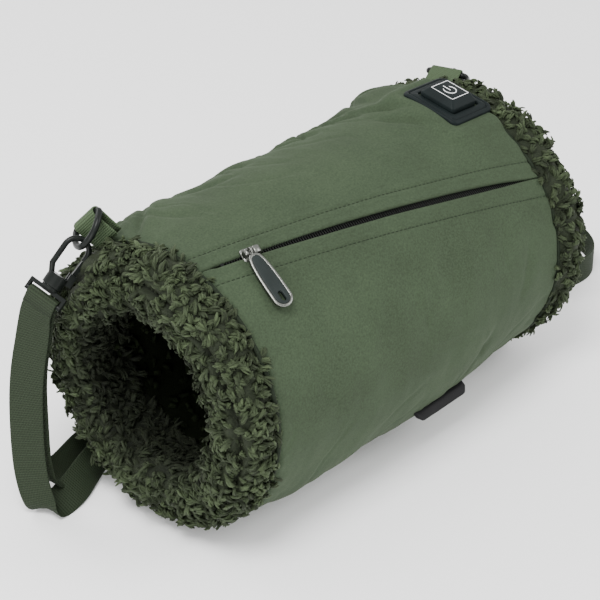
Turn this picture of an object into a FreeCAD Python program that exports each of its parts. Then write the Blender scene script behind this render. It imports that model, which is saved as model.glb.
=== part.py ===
import FreeCAD, Part
import math
import os

# Heated hand warmer muff: a padded fabric tube with sherpa cuffs, a pocket with a zip,
# a power switch, and a webbing strap clipped to a D-ring at each end.
# Frame: X runs along the hand tunnel (the switch is near +X), Z is up, and the origin is
# on the floor under the middle of the tube.  All sizes are in millimetres.

V = FreeCAD.Vector
PARTS = "parts"

# ---- tube ----
AXIS_Z = 90.0            # height of the tunnel axis over the floor
SEAM_X = 126.0           # shell to cuff seams lie at -SEAM_X and +SEAM_X
R_MID = 92.5             # shell radius at mid length
R_NEAR = 85.0            # shell radius at the near seam
R_FAR = 88.0             # shell radius at the far seam
SHELL_T = 1.5            # laminated shell fabric
LAYER_GAP = 0.4          # air between soft layers
WADDING_BORE = 73.9
LINING_R = 71.8
TUNNEL_R = 57.0
PAD_R = 72.1             # inner radius of the heating pad
PAD_T = 1.5
PAD_HALF_X = 80.0
PAD_HALF_DEG = 60.0

# ---- zip: its line is a flat arc that bulges with the tube ----
ZIP_X0, ZIP_DEG0 = -120.0, 18.2      # start, degrees from the top towards the front
ZIP_X1, ZIP_DEG1 = 122.0, 51.0
ZIP_SLOT_W = 12.0
TAPE_W = 13.0
TAPE_T = 0.7
TAPE_TOP = -2.7          # height of the tape's upper face over the shell surface
TAPE_FALL = 4.7          # how far the tape's outer edge lies below its inner one
CHAIN_W = 6.0
SLIDER_L = 12.0
SLIDER_W = 9.0
SLIDER_START = 27.0      # arc length from the start of the zip to the parked slider
PULLER_L = 38.0
PULLER_W = 12.6
PULLER_T = 2.2
PULLER_DROP_DEG = 12.0   # slope of the lying puller below the tangent of the shell
PULLER_SKEW = 0.11       # how far the lying puller leans towards the far end
PULLER_NECK = 4.4        # width of the puller where its eye starts
BAIL_L, BAIL_W = 9.6, 2.2
BAIL_R = 0.8             # radius of the bail's rod
PIVOT_H = 4.9            # height of the rod's axis over the shell
EYE_R0, EYE_R1 = 1.15, 2.3   # the puller's eye round the rod
EYE_W = 2.6
EYE_X = -1.6             # place of the eye along the rod

# ---- pocket under the zip ----
POCKET_X = 78.0
POCKET_DEG0, POCKET_DEG1 = 30.0, 100.0
POCKET_R0, POCKET_R1 = 75.5, 86.0
POCKET_WALL = 0.8
MOUTH_W = 29.0            # opening in the bag, wider than the zip tapes

# ---- switch ----
SWITCH_X = 109.0
SWITCH_DEG = 3.5         # from the top towards the front
PATCH_L, PATCH_W, PATCH_T = 38.0, 42.0, 2.4
BUTTON_L, BUTTON_W, BUTTON_H = 24.0, 27.0, 4.2
BUTTON_TRAVEL = 0.8
STEM_TOP = -3.3          # height of the tact switch's stem in the switch's own frame
SWITCH_LIFT = 4.2        # from the plain tube's surface to the switch's own origin
SWITCH_X_DIR = V(1, 0, -0.07)
PATCH_LIFT = 4.6         # from the plain tube's surface to the patch's underside

# ---- label ----
LABEL_X, LABEL_DEG = 26.0, 128.0
LABEL_L, LABEL_OUT, LABEL_GAP, LABEL_T = 46.0, 7.8, 1.0, 0.7

# ---- leads in the wadding ----
LEAD_D = 3.0
LEAD_PATH = [V(92.0, 6, 171.2), V(90.0, -14, 170.0), V(88.0, -33.4, 161.8), V(83.0, -48.8, 151.5),
             V(72.0, -58.6, 143.0), V(54.0, -64.2, 138.6), V(36.0, -64.7, 138.0)]
PAD_LEAD_D = 2.4
PAD_LEAD_PATH = [V(96.0, 5.0, 172.5), V(93.0, 12.0, 167.5), V(84.0, 15.0, 164.0), V(77.0, 15.0, 163.6)]

# ---- webbing and hardware ----
WEB_W = 20.0
WEB_T = 1.3
RING_HALF = 12.3         # half the mean width of the D-ring
RING_WIRE = 2.0          # radius of the ring's wire
RING_STRAIGHT = 5.0      # straight part of its limbs
RING_CORNER = 2.6        # radius of the ring's bends at its bar
HOOK_ROD = 1.7           # radius of the hook's rod
HOOK_EYE_R = 7.4         # mean radius of the nose
NOSE_X = 2.9             # centre of the nose's curve, from the ring wire towards the strap
HOOK_LEN = 35.0          # ring wire to base bar
BARREL_X0, BARREL_X1 = 19.5, 27.0
BARREL_R = 6.2
PIN_X, PIN_Y = 17.2, 7.0     # place of the gate's pin in the hook
BASE_BAR_R = 1.6
WRAP_R = BASE_BAR_R + 0.25 + WEB_T / 2   # the strap's centre line round the base bar
DENT_R = 10.6            # room round a hook's axis as it turns

# How the hardware hangs at each end.  fold_dir runs along the tab's fold, ring_dir from the
# fold to the ring's round end, hook_dir from the ring wire to the strap, hook_normal out of
# the hook's flat, bar_dir along the base bar.  grip_deg is where the hook holds the ring.
ENDS = {
    "near": {"tab_root": V(-125.0, 46.8, 161.5), "tab_fold": V(-131.5, 57.9, 174.8),
             "tab_reach": 17.0,
             "fold_dir": V(0.171, -0.656, 0.736), "ring_dir": V(-0.701, -0.605, -0.376),
             "hook_dir": V(-0.706, 0.133, -0.697), "hook_normal": V(-0.463, -0.834, 0.309),
             "bar_dir": V(0.176, -0.918, -0.355), "grip_deg": 125.0,
             "strap_out": V(-1, -1, 1)},
    "far": {"tab_root": V(126.0, 22.0, 174.6), "tab_fold": V(148.0, 24.5, 178.2),
            "tab_reach": 20.5,
            "fold_dir": V(0.363, -0.931, -0.022), "ring_dir": V(0.72, 0.30, -0.62),
            "hook_dir": V(0.42, 0.40, -0.82), "hook_normal": V(0.45, -0.89, 0.02),
            "bar_dir": V(0.363, -0.931, -0.022), "grip_deg": 90.0,
            "strap_out": V(1, 1, 1)},
}

# Centre line of the strap between the two hooks, and its width direction at each point.
STRAP_ROUTE = [
    (V(-174.0, 61.5, 120.0), V(0.45, -0.88, -0.16)), (V(-181.5, 63.5, 88.0), V(0.55, -0.83, -0.06)),
    (V(-186.5, 61.0, 54.0), V(0.58, -0.81, -0.02)), (V(-190.5, 55.5, 24.0), V(0.56, -0.83, 0)),
    (V(-190.5, 51.5, 2.2), V(0.54, -0.84, 0)), (V(-172.0, 55.0, 6.8), V(0.35, -0.75, -0.56)),
    (V(-146.0, 63.5, 11.2), V(0.1, -0.55, -0.83)), (V(-106.0, 69.0, 13.8), V(0, -0.12, -0.99)),
    (V(-50.0, 73.0, 13.8), V(0, 0, -1)), (V(6.0, 71.5, 12.4), V(0, 0, -1)),
    (V(62.0, 75.0, 10.6), V(0, 0, -1)), (V(114.0, 73.0, 10.6), V(0, 0, -1)),
    (V(158.0, 52.0, 10.6), V(0, 0, -1)), (V(192.0, 10.0, 10.6), V(0, 0, -1)),
    (V(220.0, -26.0, 10.6), V(0, 0, -1)), (V(256.0, -29.0, 10.6), V(0, 0, -1)),
    (V(276.0, 0.0, 11.0), V(0, 0, -1)), (V(271.0, 34.0, 18.0), V(-0.1, -0.3, -0.95)),
    (V(249.0, 54.0, 40.0), V(0.0, -0.6, -0.8)), (V(219.0, 58.0, 70.0), V(0.2, -0.85, -0.4)),
    (V(192.0, 53.0, 104.0), V(0.34, -0.93, -0.1))]
# The same for the doubled layer, from the near hook to the adjuster.
RETURN_ROUTE = [
    (V(-170.5, 63.5, 119.0), V(0.45, -0.88, -0.16)), (V(-176.5, 66.0, 88.0), V(0.55, -0.83, -0.06)),
    (V(-178.5, 65.0, 58.0), V(0.58, -0.81, -0.02)), (V(-178.0, 65.0, 36.0), V(0.5, -0.85, 0)),
    (V(-172.0, 71.0, 20.0), V(0.35, -0.85, -0.4)), (V(-158.0, 76.0, 13.8), V(0.1, -0.3, -0.95)),
    (V(-138.0, 77.5, 12.6), V(0, -0.1, -0.99)), (V(-106.0, 78.2, 12.6), V(0, 0, -1)),
    (V(-70.0, 78.6, 13.8), V(0, 0, -1))]
ADJUSTER_O = V(-57.0, 80.6, 13.8)


def save(shape, name):
    """Writes one node."""
    shape.exportStep(os.path.join(PARTS, name + ".step"))


def unit(v):
    return V(v).normalize()


def reject(v, axis):
    """The part of v that is square to axis, as a unit vector."""
    a = unit(axis)
    return unit(V(v) - a * V(v).dot(a))


def box(x0, y0, z0, x1, y1, z1):
    return Part.makeBox(x1 - x0, y1 - y0, z1 - z0, V(x0, y0, z0))


def place(shape, origin, x_dir, z_dir):
    """Moves a shape from its own axes to origin, with its x and z along the directions."""
    x = unit(x_dir)
    z = reject(z_dir, x)
    y = z.cross(x)
    m = FreeCAD.Matrix(x.x, y.x, z.x, origin.x, x.y, y.y, z.y, origin.y,
                       x.z, y.z, z.z, origin.z, 0, 0, 0, 1)
    return shape.transformed(m)


# ---------------------------------------------------------------- tube helpers
def barrel_arc(inset):
    """The lengthwise line of the tube at a depth below the shell's surface."""
    return Part.Arc(V(-SEAM_X, 0, R_NEAR - inset), V(0, 0, R_MID - inset),
                    V(SEAM_X, 0, R_FAR - inset))


def spin(face):
    """Turns a face in the x-z half plane once round the tunnel axis."""
    solid = face.revolve(V(0, 0, 0), V(1, 0, 0), 360)
    return solid.translated(V(0, 0, AXIS_Z))


def barrel(inset, floor):
    """The solid tube at a depth below the surface, flattened where it rests."""
    top = barrel_arc(inset).toShape()
    a = V(-SEAM_X, 0, 0)
    b = V(SEAM_X, 0, 0)
    edges = [Part.makeLine(a, V(-SEAM_X, 0, R_NEAR - inset)), top,
             Part.makeLine(V(SEAM_X, 0, R_FAR - inset), b), Part.makeLine(b, a)]
    solid = spin(Part.Face(Part.Wire(edges)))
    keep = box(-SEAM_X - 1, -120, floor, SEAM_X + 1, 120, 220)
    return solid.common(keep)


def pipe_x(r0, r1, x0, x1):
    """A straight tube round the tunnel axis."""
    outer = Part.makeCylinder(r1, x1 - x0, V(x0, 0, AXIS_Z), V(1, 0, 0))
    inner = Part.makeCylinder(r0, x1 - x0, V(x0, 0, AXIS_Z), V(1, 0, 0))
    return outer.cut(inner)


def arc_plate(r0, r1, x0, x1, deg0, deg1):
    """A curved plate round the tunnel axis; degrees run from the top towards the front."""
    face = Part.Face(Part.makePolygon([V(x0, 0, r0), V(x1, 0, r0), V(x1, 0, r1),
                                       V(x0, 0, r1), V(x0, 0, r0)]))
    face.rotate(V(0, 0, 0), V(1, 0, 0), deg0)
    solid = face.revolve(V(0, 0, 0), V(1, 0, 0), deg1 - deg0)
    return solid.translated(V(0, 0, AXIS_Z))


def shell_radius(x):
    """Radius of the shell's surface at a place along the tube."""
    circle = barrel_arc(0).toShape().Curve
    centre, radius = circle.Center, circle.Radius
    return centre.z + math.sqrt(radius ** 2 - (x - centre.x) ** 2)


def on_tube(x, deg, r):
    """A point at x, at an angle from the top towards the front, at a radius."""
    a = math.radians(deg)
    return V(x, -r * math.sin(a), AXIS_Z + r * math.cos(a))


# ---------------------------------------------------------------- zip helpers
def circle_through(p, q, s):
    """Centre, radius and unit normal of the circle through three points."""
    circle = Part.Arc(p, q, s).toShape().Curve
    return circle.Center, circle.Radius, unit((p - circle.Center).cross(s - circle.Center))


ZIP_P0 = on_tube(ZIP_X0, ZIP_DEG0, shell_radius(ZIP_X0))
ZIP_P1 = on_tube(ZIP_X1, ZIP_DEG1, shell_radius(ZIP_X1))
ZIP_XM = (ZIP_X0 + ZIP_X1) / 2
ZIP_PM = on_tube(ZIP_XM, (ZIP_DEG0 + ZIP_DEG1) / 2, shell_radius(ZIP_XM))
ZIP_C, ZIP_R, ZIP_N = circle_through(ZIP_P0, ZIP_PM, ZIP_P1)
ZIP_OUT0 = unit(ZIP_P0 - ZIP_C)
ZIP_TURN = math.degrees(ZIP_OUT0.getAngle(ZIP_P1 - ZIP_C))


def zip_frame(length):
    """Point on the zip line at an arc length, with its outward and forward directions."""
    turn = FreeCAD.Rotation(ZIP_N, math.degrees(length / ZIP_R))
    out = turn.multVec(ZIP_OUT0)
    return ZIP_C + out * ZIP_R, out, ZIP_N.cross(out)


def zip_profile(corners, len0, len1):
    """A bar that follows the zip line, from the corners (side, height) of its section."""
    point, out, along = zip_frame(len0)
    loop = [point + ZIP_N * side + out * height for side, height in corners]
    face = Part.Face(Part.makePolygon(loop + [loop[0]]))
    return face.revolve(ZIP_C, ZIP_N, math.degrees((len1 - len0) / ZIP_R))


def zip_strip(side0, side1, low, high, len0, len1):
    """A plain bar along the zip line between two arc lengths."""
    return zip_profile([(side0, low), (side1, low), (side1, high), (side0, high)], len0, len1)


ZIP_LEN = math.radians(ZIP_TURN) * ZIP_R


# ---------------------------------------------------------------- soft body
def pocket_space(grow):
    return arc_plate(POCKET_R0 - grow, POCKET_R1 + grow, -POCKET_X - grow, POCKET_X + grow,
                     POCKET_DEG0 - grow / 1.5, POCKET_DEG1 + grow / 1.5)


def make_shell():
    """Woven outer shell with the slot for the zip."""
    shell = barrel(0, 0).cut(barrel(SHELL_T, SHELL_T))
    slot = zip_strip(-ZIP_SLOT_W / 2, ZIP_SLOT_W / 2, -6, 6, 0, ZIP_LEN)
    return shell.cut(slot)


def make_wadding(lead_paths):
    """Padding between the shell and the lining, hollowed for what it surrounds."""
    body = barrel(SHELL_T + LAYER_GAP, SHELL_T + LAYER_GAP)
    body = body.cut(Part.makeCylinder(WADDING_BORE, 2 * SEAM_X, V(-SEAM_X, 0, AXIS_Z), V(1, 0, 0)))
    body = body.cut(arc_plate(POCKET_R0 - 0.4, 100, -POCKET_X - 0.4, POCKET_X + 0.4,
                              POCKET_DEG0 - 0.3, POCKET_DEG1 + 0.3))
    body = body.cut(zip_strip(-15, 15, -9, 6, -1, ZIP_LEN + 1))
    body = body.cut(switch_box(24, 22, -9.5, 0))
    for path in lead_paths:
        body = body.cut(tube(path, LEAD_D + 0.8))
    return body


def cuff_profile(side, r_seam, r_out, reach, r_in):
    """Closed outline of a rolled sherpa cuff, from its seam to its lip."""
    x = SEAM_X + 0.3
    path = [(0, r_seam), (0.40, r_out), (0.84, r_out - 8), (1.0, r_out - 19), (0.84, r_in + 4),
            (0.40, r_in), (0, r_in + 3)]
    pts = [V(side * (x + share * reach), 0, r) for share, r in path]
    edges = [Part.Arc(*pts[i:i + 3]).toShape() for i in (0, 2, 4)]
    return Part.Face(Part.Wire(edges + [Part.makeLine(pts[6], pts[0])]))


def make_cuff(end, side, r_seam, r_out, reach, r_in):
    """One cuff, flat where it rests and pressed in where the hook and tab lie on it."""
    ring = spin(cuff_profile(side, r_seam, r_out, reach, r_in))
    ring = ring.common(box(-200, -120, 0.05, 200, 120, 220))
    dent = at_hook(Part.makeCylinder(DENT_R, 34, V(-8, 0, 0), V(1, 0, 0)), end)
    across = unit(end["fold_dir"])
    reach_dir = reject(end["tab_fold"] - end["tab_root"], across)
    half = WEB_W / 2 + 0.5
    tab_room = place(box(-end["tab_reach"] - 0.5, -4.1, -half, 6, 4.1, half),
                     end["tab_fold"], reach_dir, across)
    return ring.cut(dent).cut(tab_room)


def make_piping(r_seam, side):
    """Narrow binding that covers the seam between the shell and a cuff."""
    x = side * SEAM_X
    return pipe_x(r_seam + 0.15, r_seam + 1.35, x - 1.5, x + 0.2)


def make_pocket():
    """Thin bag under the zip that holds the power bank, with its mouth along the zip."""
    outer = pocket_space(0)
    inner = arc_plate(POCKET_R0 + POCKET_WALL, POCKET_R1 - POCKET_WALL, -POCKET_X + POCKET_WALL,
                      POCKET_X - POCKET_WALL, POCKET_DEG0 + 0.6, POCKET_DEG1 - 0.6)
    bag = outer.cut(inner)
    mouth = zip_strip(-MOUTH_W / 2, MOUTH_W / 2, -15, 6, 20, ZIP_LEN)
    return bag.cut(mouth).cut(tube(LEAD_PATH, LEAD_D + 0.8))


def make_label():
    """Folded cloth loop sewn into the lengthwise seam under the front."""
    folded = box(-LABEL_L / 2, -LABEL_GAP / 2 - LABEL_T, 0, LABEL_L / 2, LABEL_GAP / 2 + LABEL_T,
                 LABEL_OUT)
    hollow = box(-LABEL_L, -LABEL_GAP / 2, -1, LABEL_L, LABEL_GAP / 2, LABEL_OUT - LABEL_T)
    loop = folded.cut(hollow)
    out = unit(on_tube(LABEL_X, LABEL_DEG, 100) - V(LABEL_X, 0, AXIS_Z))
    root = on_tube(LABEL_X, LABEL_DEG, shell_radius(LABEL_X) + 0.1)
    return place(loop, root, V(1, 0, 0), out)


# ---------------------------------------------------------------- leads
def tangent_arcs(points):
    """Edges of a path of straight runs joined by tangent arcs."""
    edges, last = [], points[0]
    for a, p, b in zip(points, points[1:], points[2:]):
        u, w = (a - p), (b - p)
        half = (math.pi - u.getAngle(w)) / 2
        cut = 0.45 * min(u.Length, w.Length)
        u.normalize()
        w.normalize()
        radius = cut / math.tan(half)
        start, end = p + u * cut, p + w * cut
        mid_dir = unit(u + w)
        centre = p + mid_dir * math.hypot(radius, cut)
        edges.append(Part.makeLine(last, start))
        edges.append(Part.Arc(start, centre - mid_dir * radius, end).toShape())
        last = end
    edges.append(Part.makeLine(last, points[-1]))
    return edges


def tube(points, diameter):
    """A round lead along a path."""
    path = Part.Wire(tangent_arcs(points))
    ring = Part.Wire([Part.makeCircle(diameter / 2, points[0], points[1] - points[0])])
    return path.makePipeShell([ring], True, False)


# ---------------------------------------------------------------- switch
SWITCH_OUT = unit(on_tube(SWITCH_X, SWITCH_DEG, 10) - V(SWITCH_X, 0, AXIS_Z))
SWITCH_O = on_tube(SWITCH_X, SWITCH_DEG, shell_radius(SWITCH_X) + SWITCH_LIFT)


def at_switch(shape):
    """Places a shape whose z points out of the patch and whose x runs along the tube."""
    return place(shape, SWITCH_O, SWITCH_X_DIR, SWITCH_OUT)


def switch_box(length, width, low, high):
    return at_switch(box(-length / 2, -width / 2, low, length / 2, width / 2, high))


def rounded_plate(length, width, low, high, radius):
    plate = box(-length / 2, -width / 2, low, length / 2, width / 2, high)
    edges = [e for e in plate.Edges if abs(e.Vertexes[0].Z - e.Vertexes[-1].Z) > 0.1]
    return plate.makeFillet(radius, edges)


def make_patch():
    """Silicone patch, curved to the shell, with the window that the button moves in."""
    plate = rounded_plate(PATCH_L, PATCH_W, -8, 4, 5)
    plate = at_switch(plate)
    skin = arc_plate(shell_radius(SWITCH_X) + PATCH_LIFT, shell_radius(SWITCH_X) + PATCH_LIFT + PATCH_T,
                     SWITCH_X - 40, SWITCH_X + 40, SWITCH_DEG - 30, SWITCH_DEG + 30)
    patch = plate.common(skin)
    return patch.cut(switch_box(BUTTON_L + 0.8, BUTTON_W + 0.8, -12, 12))


def pyramid(l0, w0, l1, w1, z0, z1):
    """A block that narrows from its base to its top."""
    def rect(length, width, z):
        x, y = length / 2, width / 2
        return Part.makePolygon([V(-x, -y, z), V(x, -y, z), V(x, y, z), V(-x, y, z), V(-x, -y, z)])
    return Part.makeLoft([rect(l0, w0, z0), rect(l1, w1, z1)], True, True)


def make_button():
    """Raised push button with a plunger that meets the tact switch."""
    base = box(-BUTTON_L / 2, -BUTTON_W / 2, 1.6, BUTTON_L / 2, BUTTON_W / 2, 3.6)
    top = pyramid(BUTTON_L, BUTTON_W, BUTTON_L - 5, BUTTON_W - 5, 3.6, 1.6 + BUTTON_H + 1.2)
    low = STEM_TOP + BUTTON_TRAVEL + 0.05
    plunger = Part.makeCylinder(2.0, 1.7 - low, V(0, 0, low), V(0, 0, 1))
    return at_switch(base.fuse([top, plunger]).removeSplitter())


def make_board():
    return at_switch(box(-10, -9, -8.2, 10, 9, -6.8))


def make_tact():
    """Tact switch on the board, under the plunger with the button's travel between."""
    body = box(-3, -3, -6.8, 3, 3, STEM_TOP - 0.7)
    stem = Part.makeCylinder(1.6, 0.7, V(0, 0, STEM_TOP - 0.7), V(0, 0, 1))
    return at_switch(body.fuse(stem))


def shell_switch_hole():
    return switch_box(BUTTON_L - 6, BUTTON_W - 6, -12, 12)


# ---------------------------------------------------------------- zip pieces
def make_tape(sign):
    """One zip tape, bent down under the shell beside the slot."""
    low = TAPE_TOP - TAPE_T
    edge = TAPE_TOP - TAPE_FALL
    corners = [(0.2, low), (4.0, low), (TAPE_W, edge - TAPE_T), (TAPE_W, edge), (4.0, TAPE_TOP),
               (0.2, TAPE_TOP)]
    return zip_profile([(sign * side, height) for side, height in corners], 1, ZIP_LEN - 1)


def make_slider():
    """Slider body with its side flanges and the bail over its middle."""
    point, out, along = zip_frame(SLIDER_START)
    plate = rounded_plate(SLIDER_L, SLIDER_W, 0.1, 1.3, 2.0)
    for side in (-1, 1):
        y = side * (SLIDER_W / 2 - 0.6)
        plate = plate.fuse(box(-SLIDER_L / 2 + 2, y - 0.6, -2.3, SLIDER_L / 2 - 2, y + 0.6, 0.1))
    half = BAIL_L / 2
    for side in (-1, 1):
        x0, x1 = sorted((side * half, side * (half - 1.3)))
        plate = plate.fuse(box(x0, -BAIL_W / 2, 1.3, x1, BAIL_W / 2, PIVOT_H + BAIL_R))
    rod = Part.makeCylinder(BAIL_R, BAIL_L - 1, V(-half + 0.5, 0, PIVOT_H), V(1, 0, 0))
    return place(plate.fuse(rod).removeSplitter(), point, along, out)


def puller_axes():
    """Pivot of the puller on the bail's rod, its direction as it lies, and the rod's direction."""
    point, out, along = zip_frame(SLIDER_START)
    normal = reject(V(0, point.y, point.z - AXIS_Z), along)
    front = normal.cross(along)
    front = front if front.z < 0 else front * -1
    drop = math.radians(PULLER_DROP_DEG)
    lie = front * math.cos(drop) - normal * math.sin(drop)
    return point + out * PIVOT_H + along * EYE_X, unit(lie + along * PULLER_SKEW), along


def drop_plate(inset, low, high):
    """A drop-shaped plate in the puller's plane, with x along its length."""
    w = PULLER_W / 2 - inset
    neck = PULLER_NECK / 2 - inset * 0.5
    x0, x1 = EYE_R1 - 0.2 + inset, PULLER_L - inset
    p = [V(x0, -neck, 0), V(x1 - w, -w, 0), V(x1, 0, 0), V(x1 - w, w, 0), V(x0, neck, 0)]
    edges = [Part.makeLine(p[0], p[1]), Part.Arc(p[1], p[2], p[3]).toShape(),
             Part.makeLine(p[3], p[4]), Part.makeLine(p[4], p[0])]
    face = Part.Face(Part.Wire(edges)).translated(V(0, 0, low))
    return face.extrude(V(0, 0, high - low))


def place_puller(shape):
    origin, lie, along = puller_axes()
    face = lie.cross(along)
    return place(shape, origin, lie, face if face.z > 0 else face * -1)


def make_puller():
    """Metal frame of the puller, with the eye round the bail and a cord hole near its tip."""
    half = PULLER_T / 2
    body = drop_plate(0, -half, half).cut(drop_plate(1.6, half - 0.9, half + 1))
    body = body.cut(drop_plate(1.6, -half - 1, -half + 0.9))
    body = body.cut(tip_hole(-half - 1, half + 1))
    eye = Part.makeCylinder(EYE_R1, EYE_W, V(0, -EYE_W / 2, 0), V(0, 1, 0))
    bore = Part.makeCylinder(EYE_R0, EYE_W + 8, V(0, -EYE_W / 2 - 4, 0), V(0, 1, 0))
    return place_puller(body.fuse(eye).cut(bore).removeSplitter())


def tip_hole(low, high):
    """Slot near the puller's tip."""
    x = PULLER_L - 8.2
    ends = [Part.makeCylinder(1.5, high - low, V(x + dx, 0, low), V(0, 0, 1)) for dx in (0, 3.4)]
    return ends[0].fuse([ends[1], box(x, -1.5, low, x + 3.4, 1.5, high)]).removeSplitter()


def make_insert():
    """Rubber grips set into both faces of the puller."""
    half = PULLER_T / 2
    upper = drop_plate(1.65, half - 0.88, half + 0.25)
    lower = drop_plate(1.65, -half - 0.25, -half + 0.88)
    hole = tip_hole(-half - 1, half + 1)
    return place_puller(Part.makeCompound([upper.cut(hole), lower.cut(hole)]))


def zip_stops():
    """Metal end stops of the zip, under the shell's folded edges."""
    ends = (8.0, ZIP_LEN - 6.0)
    return Part.makeCompound([zip_strip(-3.4, 3.4, TAPE_TOP + 0.05, -0.9, s, s + 2.2) for s in ends])


# ---------------------------------------------------------------- hanging hardware
def make_tab(end):
    """Webbing loop sewn into the cuff seam; the D-ring's bar lies in its fold."""
    across = unit(end["fold_dir"])
    reach = reject(end["tab_fold"] - end["tab_root"], across)
    half_gap = RING_WIRE + 0.35
    outer = half_gap + WEB_T
    loop = Part.makeCylinder(outer, WEB_W, V(0, 0, -WEB_W / 2), V(0, 0, 1))
    loop = loop.fuse(box(-end["tab_reach"], -outer, -WEB_W / 2, 0, outer, WEB_W / 2))
    core = Part.makeCylinder(half_gap, WEB_W + 2, V(0, 0, -WEB_W / 2 - 1), V(0, 0, 1))
    core = core.fuse(box(-end["tab_reach"] - 1, -half_gap, -WEB_W, 0, half_gap, WEB_W))
    return place(loop.cut(core).removeSplitter(), end["tab_fold"], reach, across)


def ring_axes(end):
    """The ring's two directions: along its bar, and from the bar to its round end."""
    across = unit(end["fold_dir"])
    return across, reject(end["ring_dir"], across)


def ring_point(end, deg):
    """Point on the ring's round end; 90 degrees is its lowest point."""
    across, down = ring_axes(end)
    a = math.radians(deg)
    return (end["tab_fold"] + down * (RING_STRAIGHT + RING_HALF * math.sin(a))
            + across * (RING_HALF * math.cos(a)))


def make_ring(end):
    """D-ring: a straight bar in the tab and a round end for the hook."""
    c = RING_CORNER
    k = c * (1 - math.sqrt(0.5))
    w, g = ring_axes(end)
    p = end["tab_fold"]
    h = RING_HALF
    a0, a1 = p - w * (h - c), p + w * (h - c)
    b1, m1 = p + w * h + g * c, p + w * (h - k) + g * k
    b0, m0 = p - w * h + g * c, p - w * (h - k) + g * k
    s1, s0 = p + w * h + g * RING_STRAIGHT, p - w * h + g * RING_STRAIGHT
    edges = [Part.makeLine(a0, a1), Part.Arc(a1, m1, b1).toShape(), Part.makeLine(b1, s1),
             Part.Arc(s1, ring_point(end, 90), s0).toShape(), Part.makeLine(s0, b0),
             Part.Arc(b0, m0, a0).toShape()]
    section = Part.Wire([Part.makeCircle(RING_WIRE, a0, w)])
    pipe = Part.Wire(edges).makePipeShell([section], False, False)
    solid = Part.makeSolid(pipe.Shells[0])
    if solid.Volume < 0:
        solid.reverse()
    return solid


def hook_origin(end):
    return ring_point(end, end["grip_deg"])


def base_bar(end):
    """Middle of the bar that the strap goes round, and the bar's direction."""
    along = unit(end["hook_dir"])
    return hook_origin(end) + along * HOOK_LEN, reject(end["bar_dir"], along)


def at_hook(shape, end):
    """Places a shape whose x runs from the ring to the strap and z out of the hook's flat."""
    return place(shape, hook_origin(end), end["hook_dir"], end["hook_normal"])


def at_base(shape, end):
    """Places a shape whose x runs from the ring to the strap and y along the base bar."""
    along = unit(end["hook_dir"])
    return place(shape, hook_origin(end), along, along.cross(reject(end["bar_dir"], along)))


def make_hook(end):
    """Hook with a round nose, an open side for the gate, and a hollow barrel."""
    r, e = HOOK_ROD, HOOK_EYE_R
    pts = [V(21.0, -4.2, 0), V(15.5, -e, 0), V(NOSE_X, -e, 0)]
    edges = [Part.makeLine(pts[0], pts[1]), Part.makeLine(pts[1], pts[2]),
             Part.Arc(pts[2], V(NOSE_X - e, 0, 0), V(NOSE_X, e, 0)).toShape(),
             Part.makeLine(V(NOSE_X, e, 0), V(NOSE_X + 2.6, e, 0))]
    section = Part.Wire([Part.makeCircle(r, pts[0], pts[1] - pts[0])])
    rod = Part.Wire(edges).makePipeShell([section], True, False, 2)
    barrel_out = Part.makeCylinder(BARREL_R, BARREL_X1 - BARREL_X0, V(BARREL_X0, 0, 0), V(1, 0, 0))
    ears = []
    for side in (-1, 1):
        z = side * 2.2
        ears.append(box(PIN_X - 2.0, PIN_Y - 2.2, z - 0.6, 21.5, PIN_Y + 2.0, z + 0.6))
        ears.append(box(19.5, 0, z - 0.6, 22.5, PIN_Y + 2.0, z + 0.6))
    body = rod.fuse([barrel_out] + ears)
    body = body.cut(Part.makeCylinder(3.9, 4.2, V(21.2, 0, 0), V(1, 0, 0)))
    body = body.cut(Part.makeCylinder(1.9, 6, V(24, 0, 0), V(1, 0, 0)))
    body = body.cut(Part.makeCylinder(0.8, 12, V(PIN_X, PIN_Y, -6), V(0, 0, 1)))
    return at_hook(body, end)


def make_gate(end):
    """Spring gate that closes the hook between its nose and its barrel."""
    y = HOOK_EYE_R
    eye = Part.makeCylinder(1.7, 3.0, V(PIN_X, PIN_Y, -1.5), V(0, 0, 1))
    arm = Part.makePolygon([V(PIN_X, PIN_Y - 1.2, -1.1), V(NOSE_X + 3.0, y - 1.2, -1.1),
                            V(NOSE_X + 3.0, y + 1.3, -1.1), V(PIN_X, PIN_Y + 1.2, -1.1),
                            V(PIN_X, PIN_Y - 1.2, -1.1)])
    arm = Part.Face(arm).extrude(V(0, 0, 2.2))
    gate = eye.fuse(arm).cut(Part.makeCylinder(0.85, 8, V(PIN_X, PIN_Y, -4), V(0, 0, 1)))
    return at_hook(gate.removeSplitter(), end)


def make_gate_pin(end):
    return at_hook(Part.makeCylinder(0.8, 5.6, V(PIN_X, PIN_Y, -2.8), V(0, 0, 1)), end)


def make_base(end):
    """Swivel base: a headed stud in the barrel and a loop with the bar for the strap."""
    stud = Part.makeCylinder(1.85, 5.6, V(24.4, 0, 0), V(1, 0, 0))
    head = Part.makeCylinder(3.4, 2.6, V(21.9, 0, 0), V(1, 0, 0))
    collar = Part.makeCylinder(5.4, 1.8, V(27.3, 0, 0), V(1, 0, 0))
    half = WEB_W / 2 + 2.6
    yoke = box(28.6, -half, -1.5, 31.0, half, 1.5)
    limbs = [box(28.6, s * (half - 0.9) - 0.9, -1.5, HOOK_LEN + 1.4, s * (half - 0.9) + 0.9, 1.5)
             for s in (-1, 1)]
    bar = Part.makeCylinder(BASE_BAR_R, 2 * half - 1, V(HOOK_LEN, -half + 0.5, 0), V(0, 1, 0))
    return at_base(stud.fuse([head, collar, yoke, bar] + limbs).removeSplitter(), end)


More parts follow.
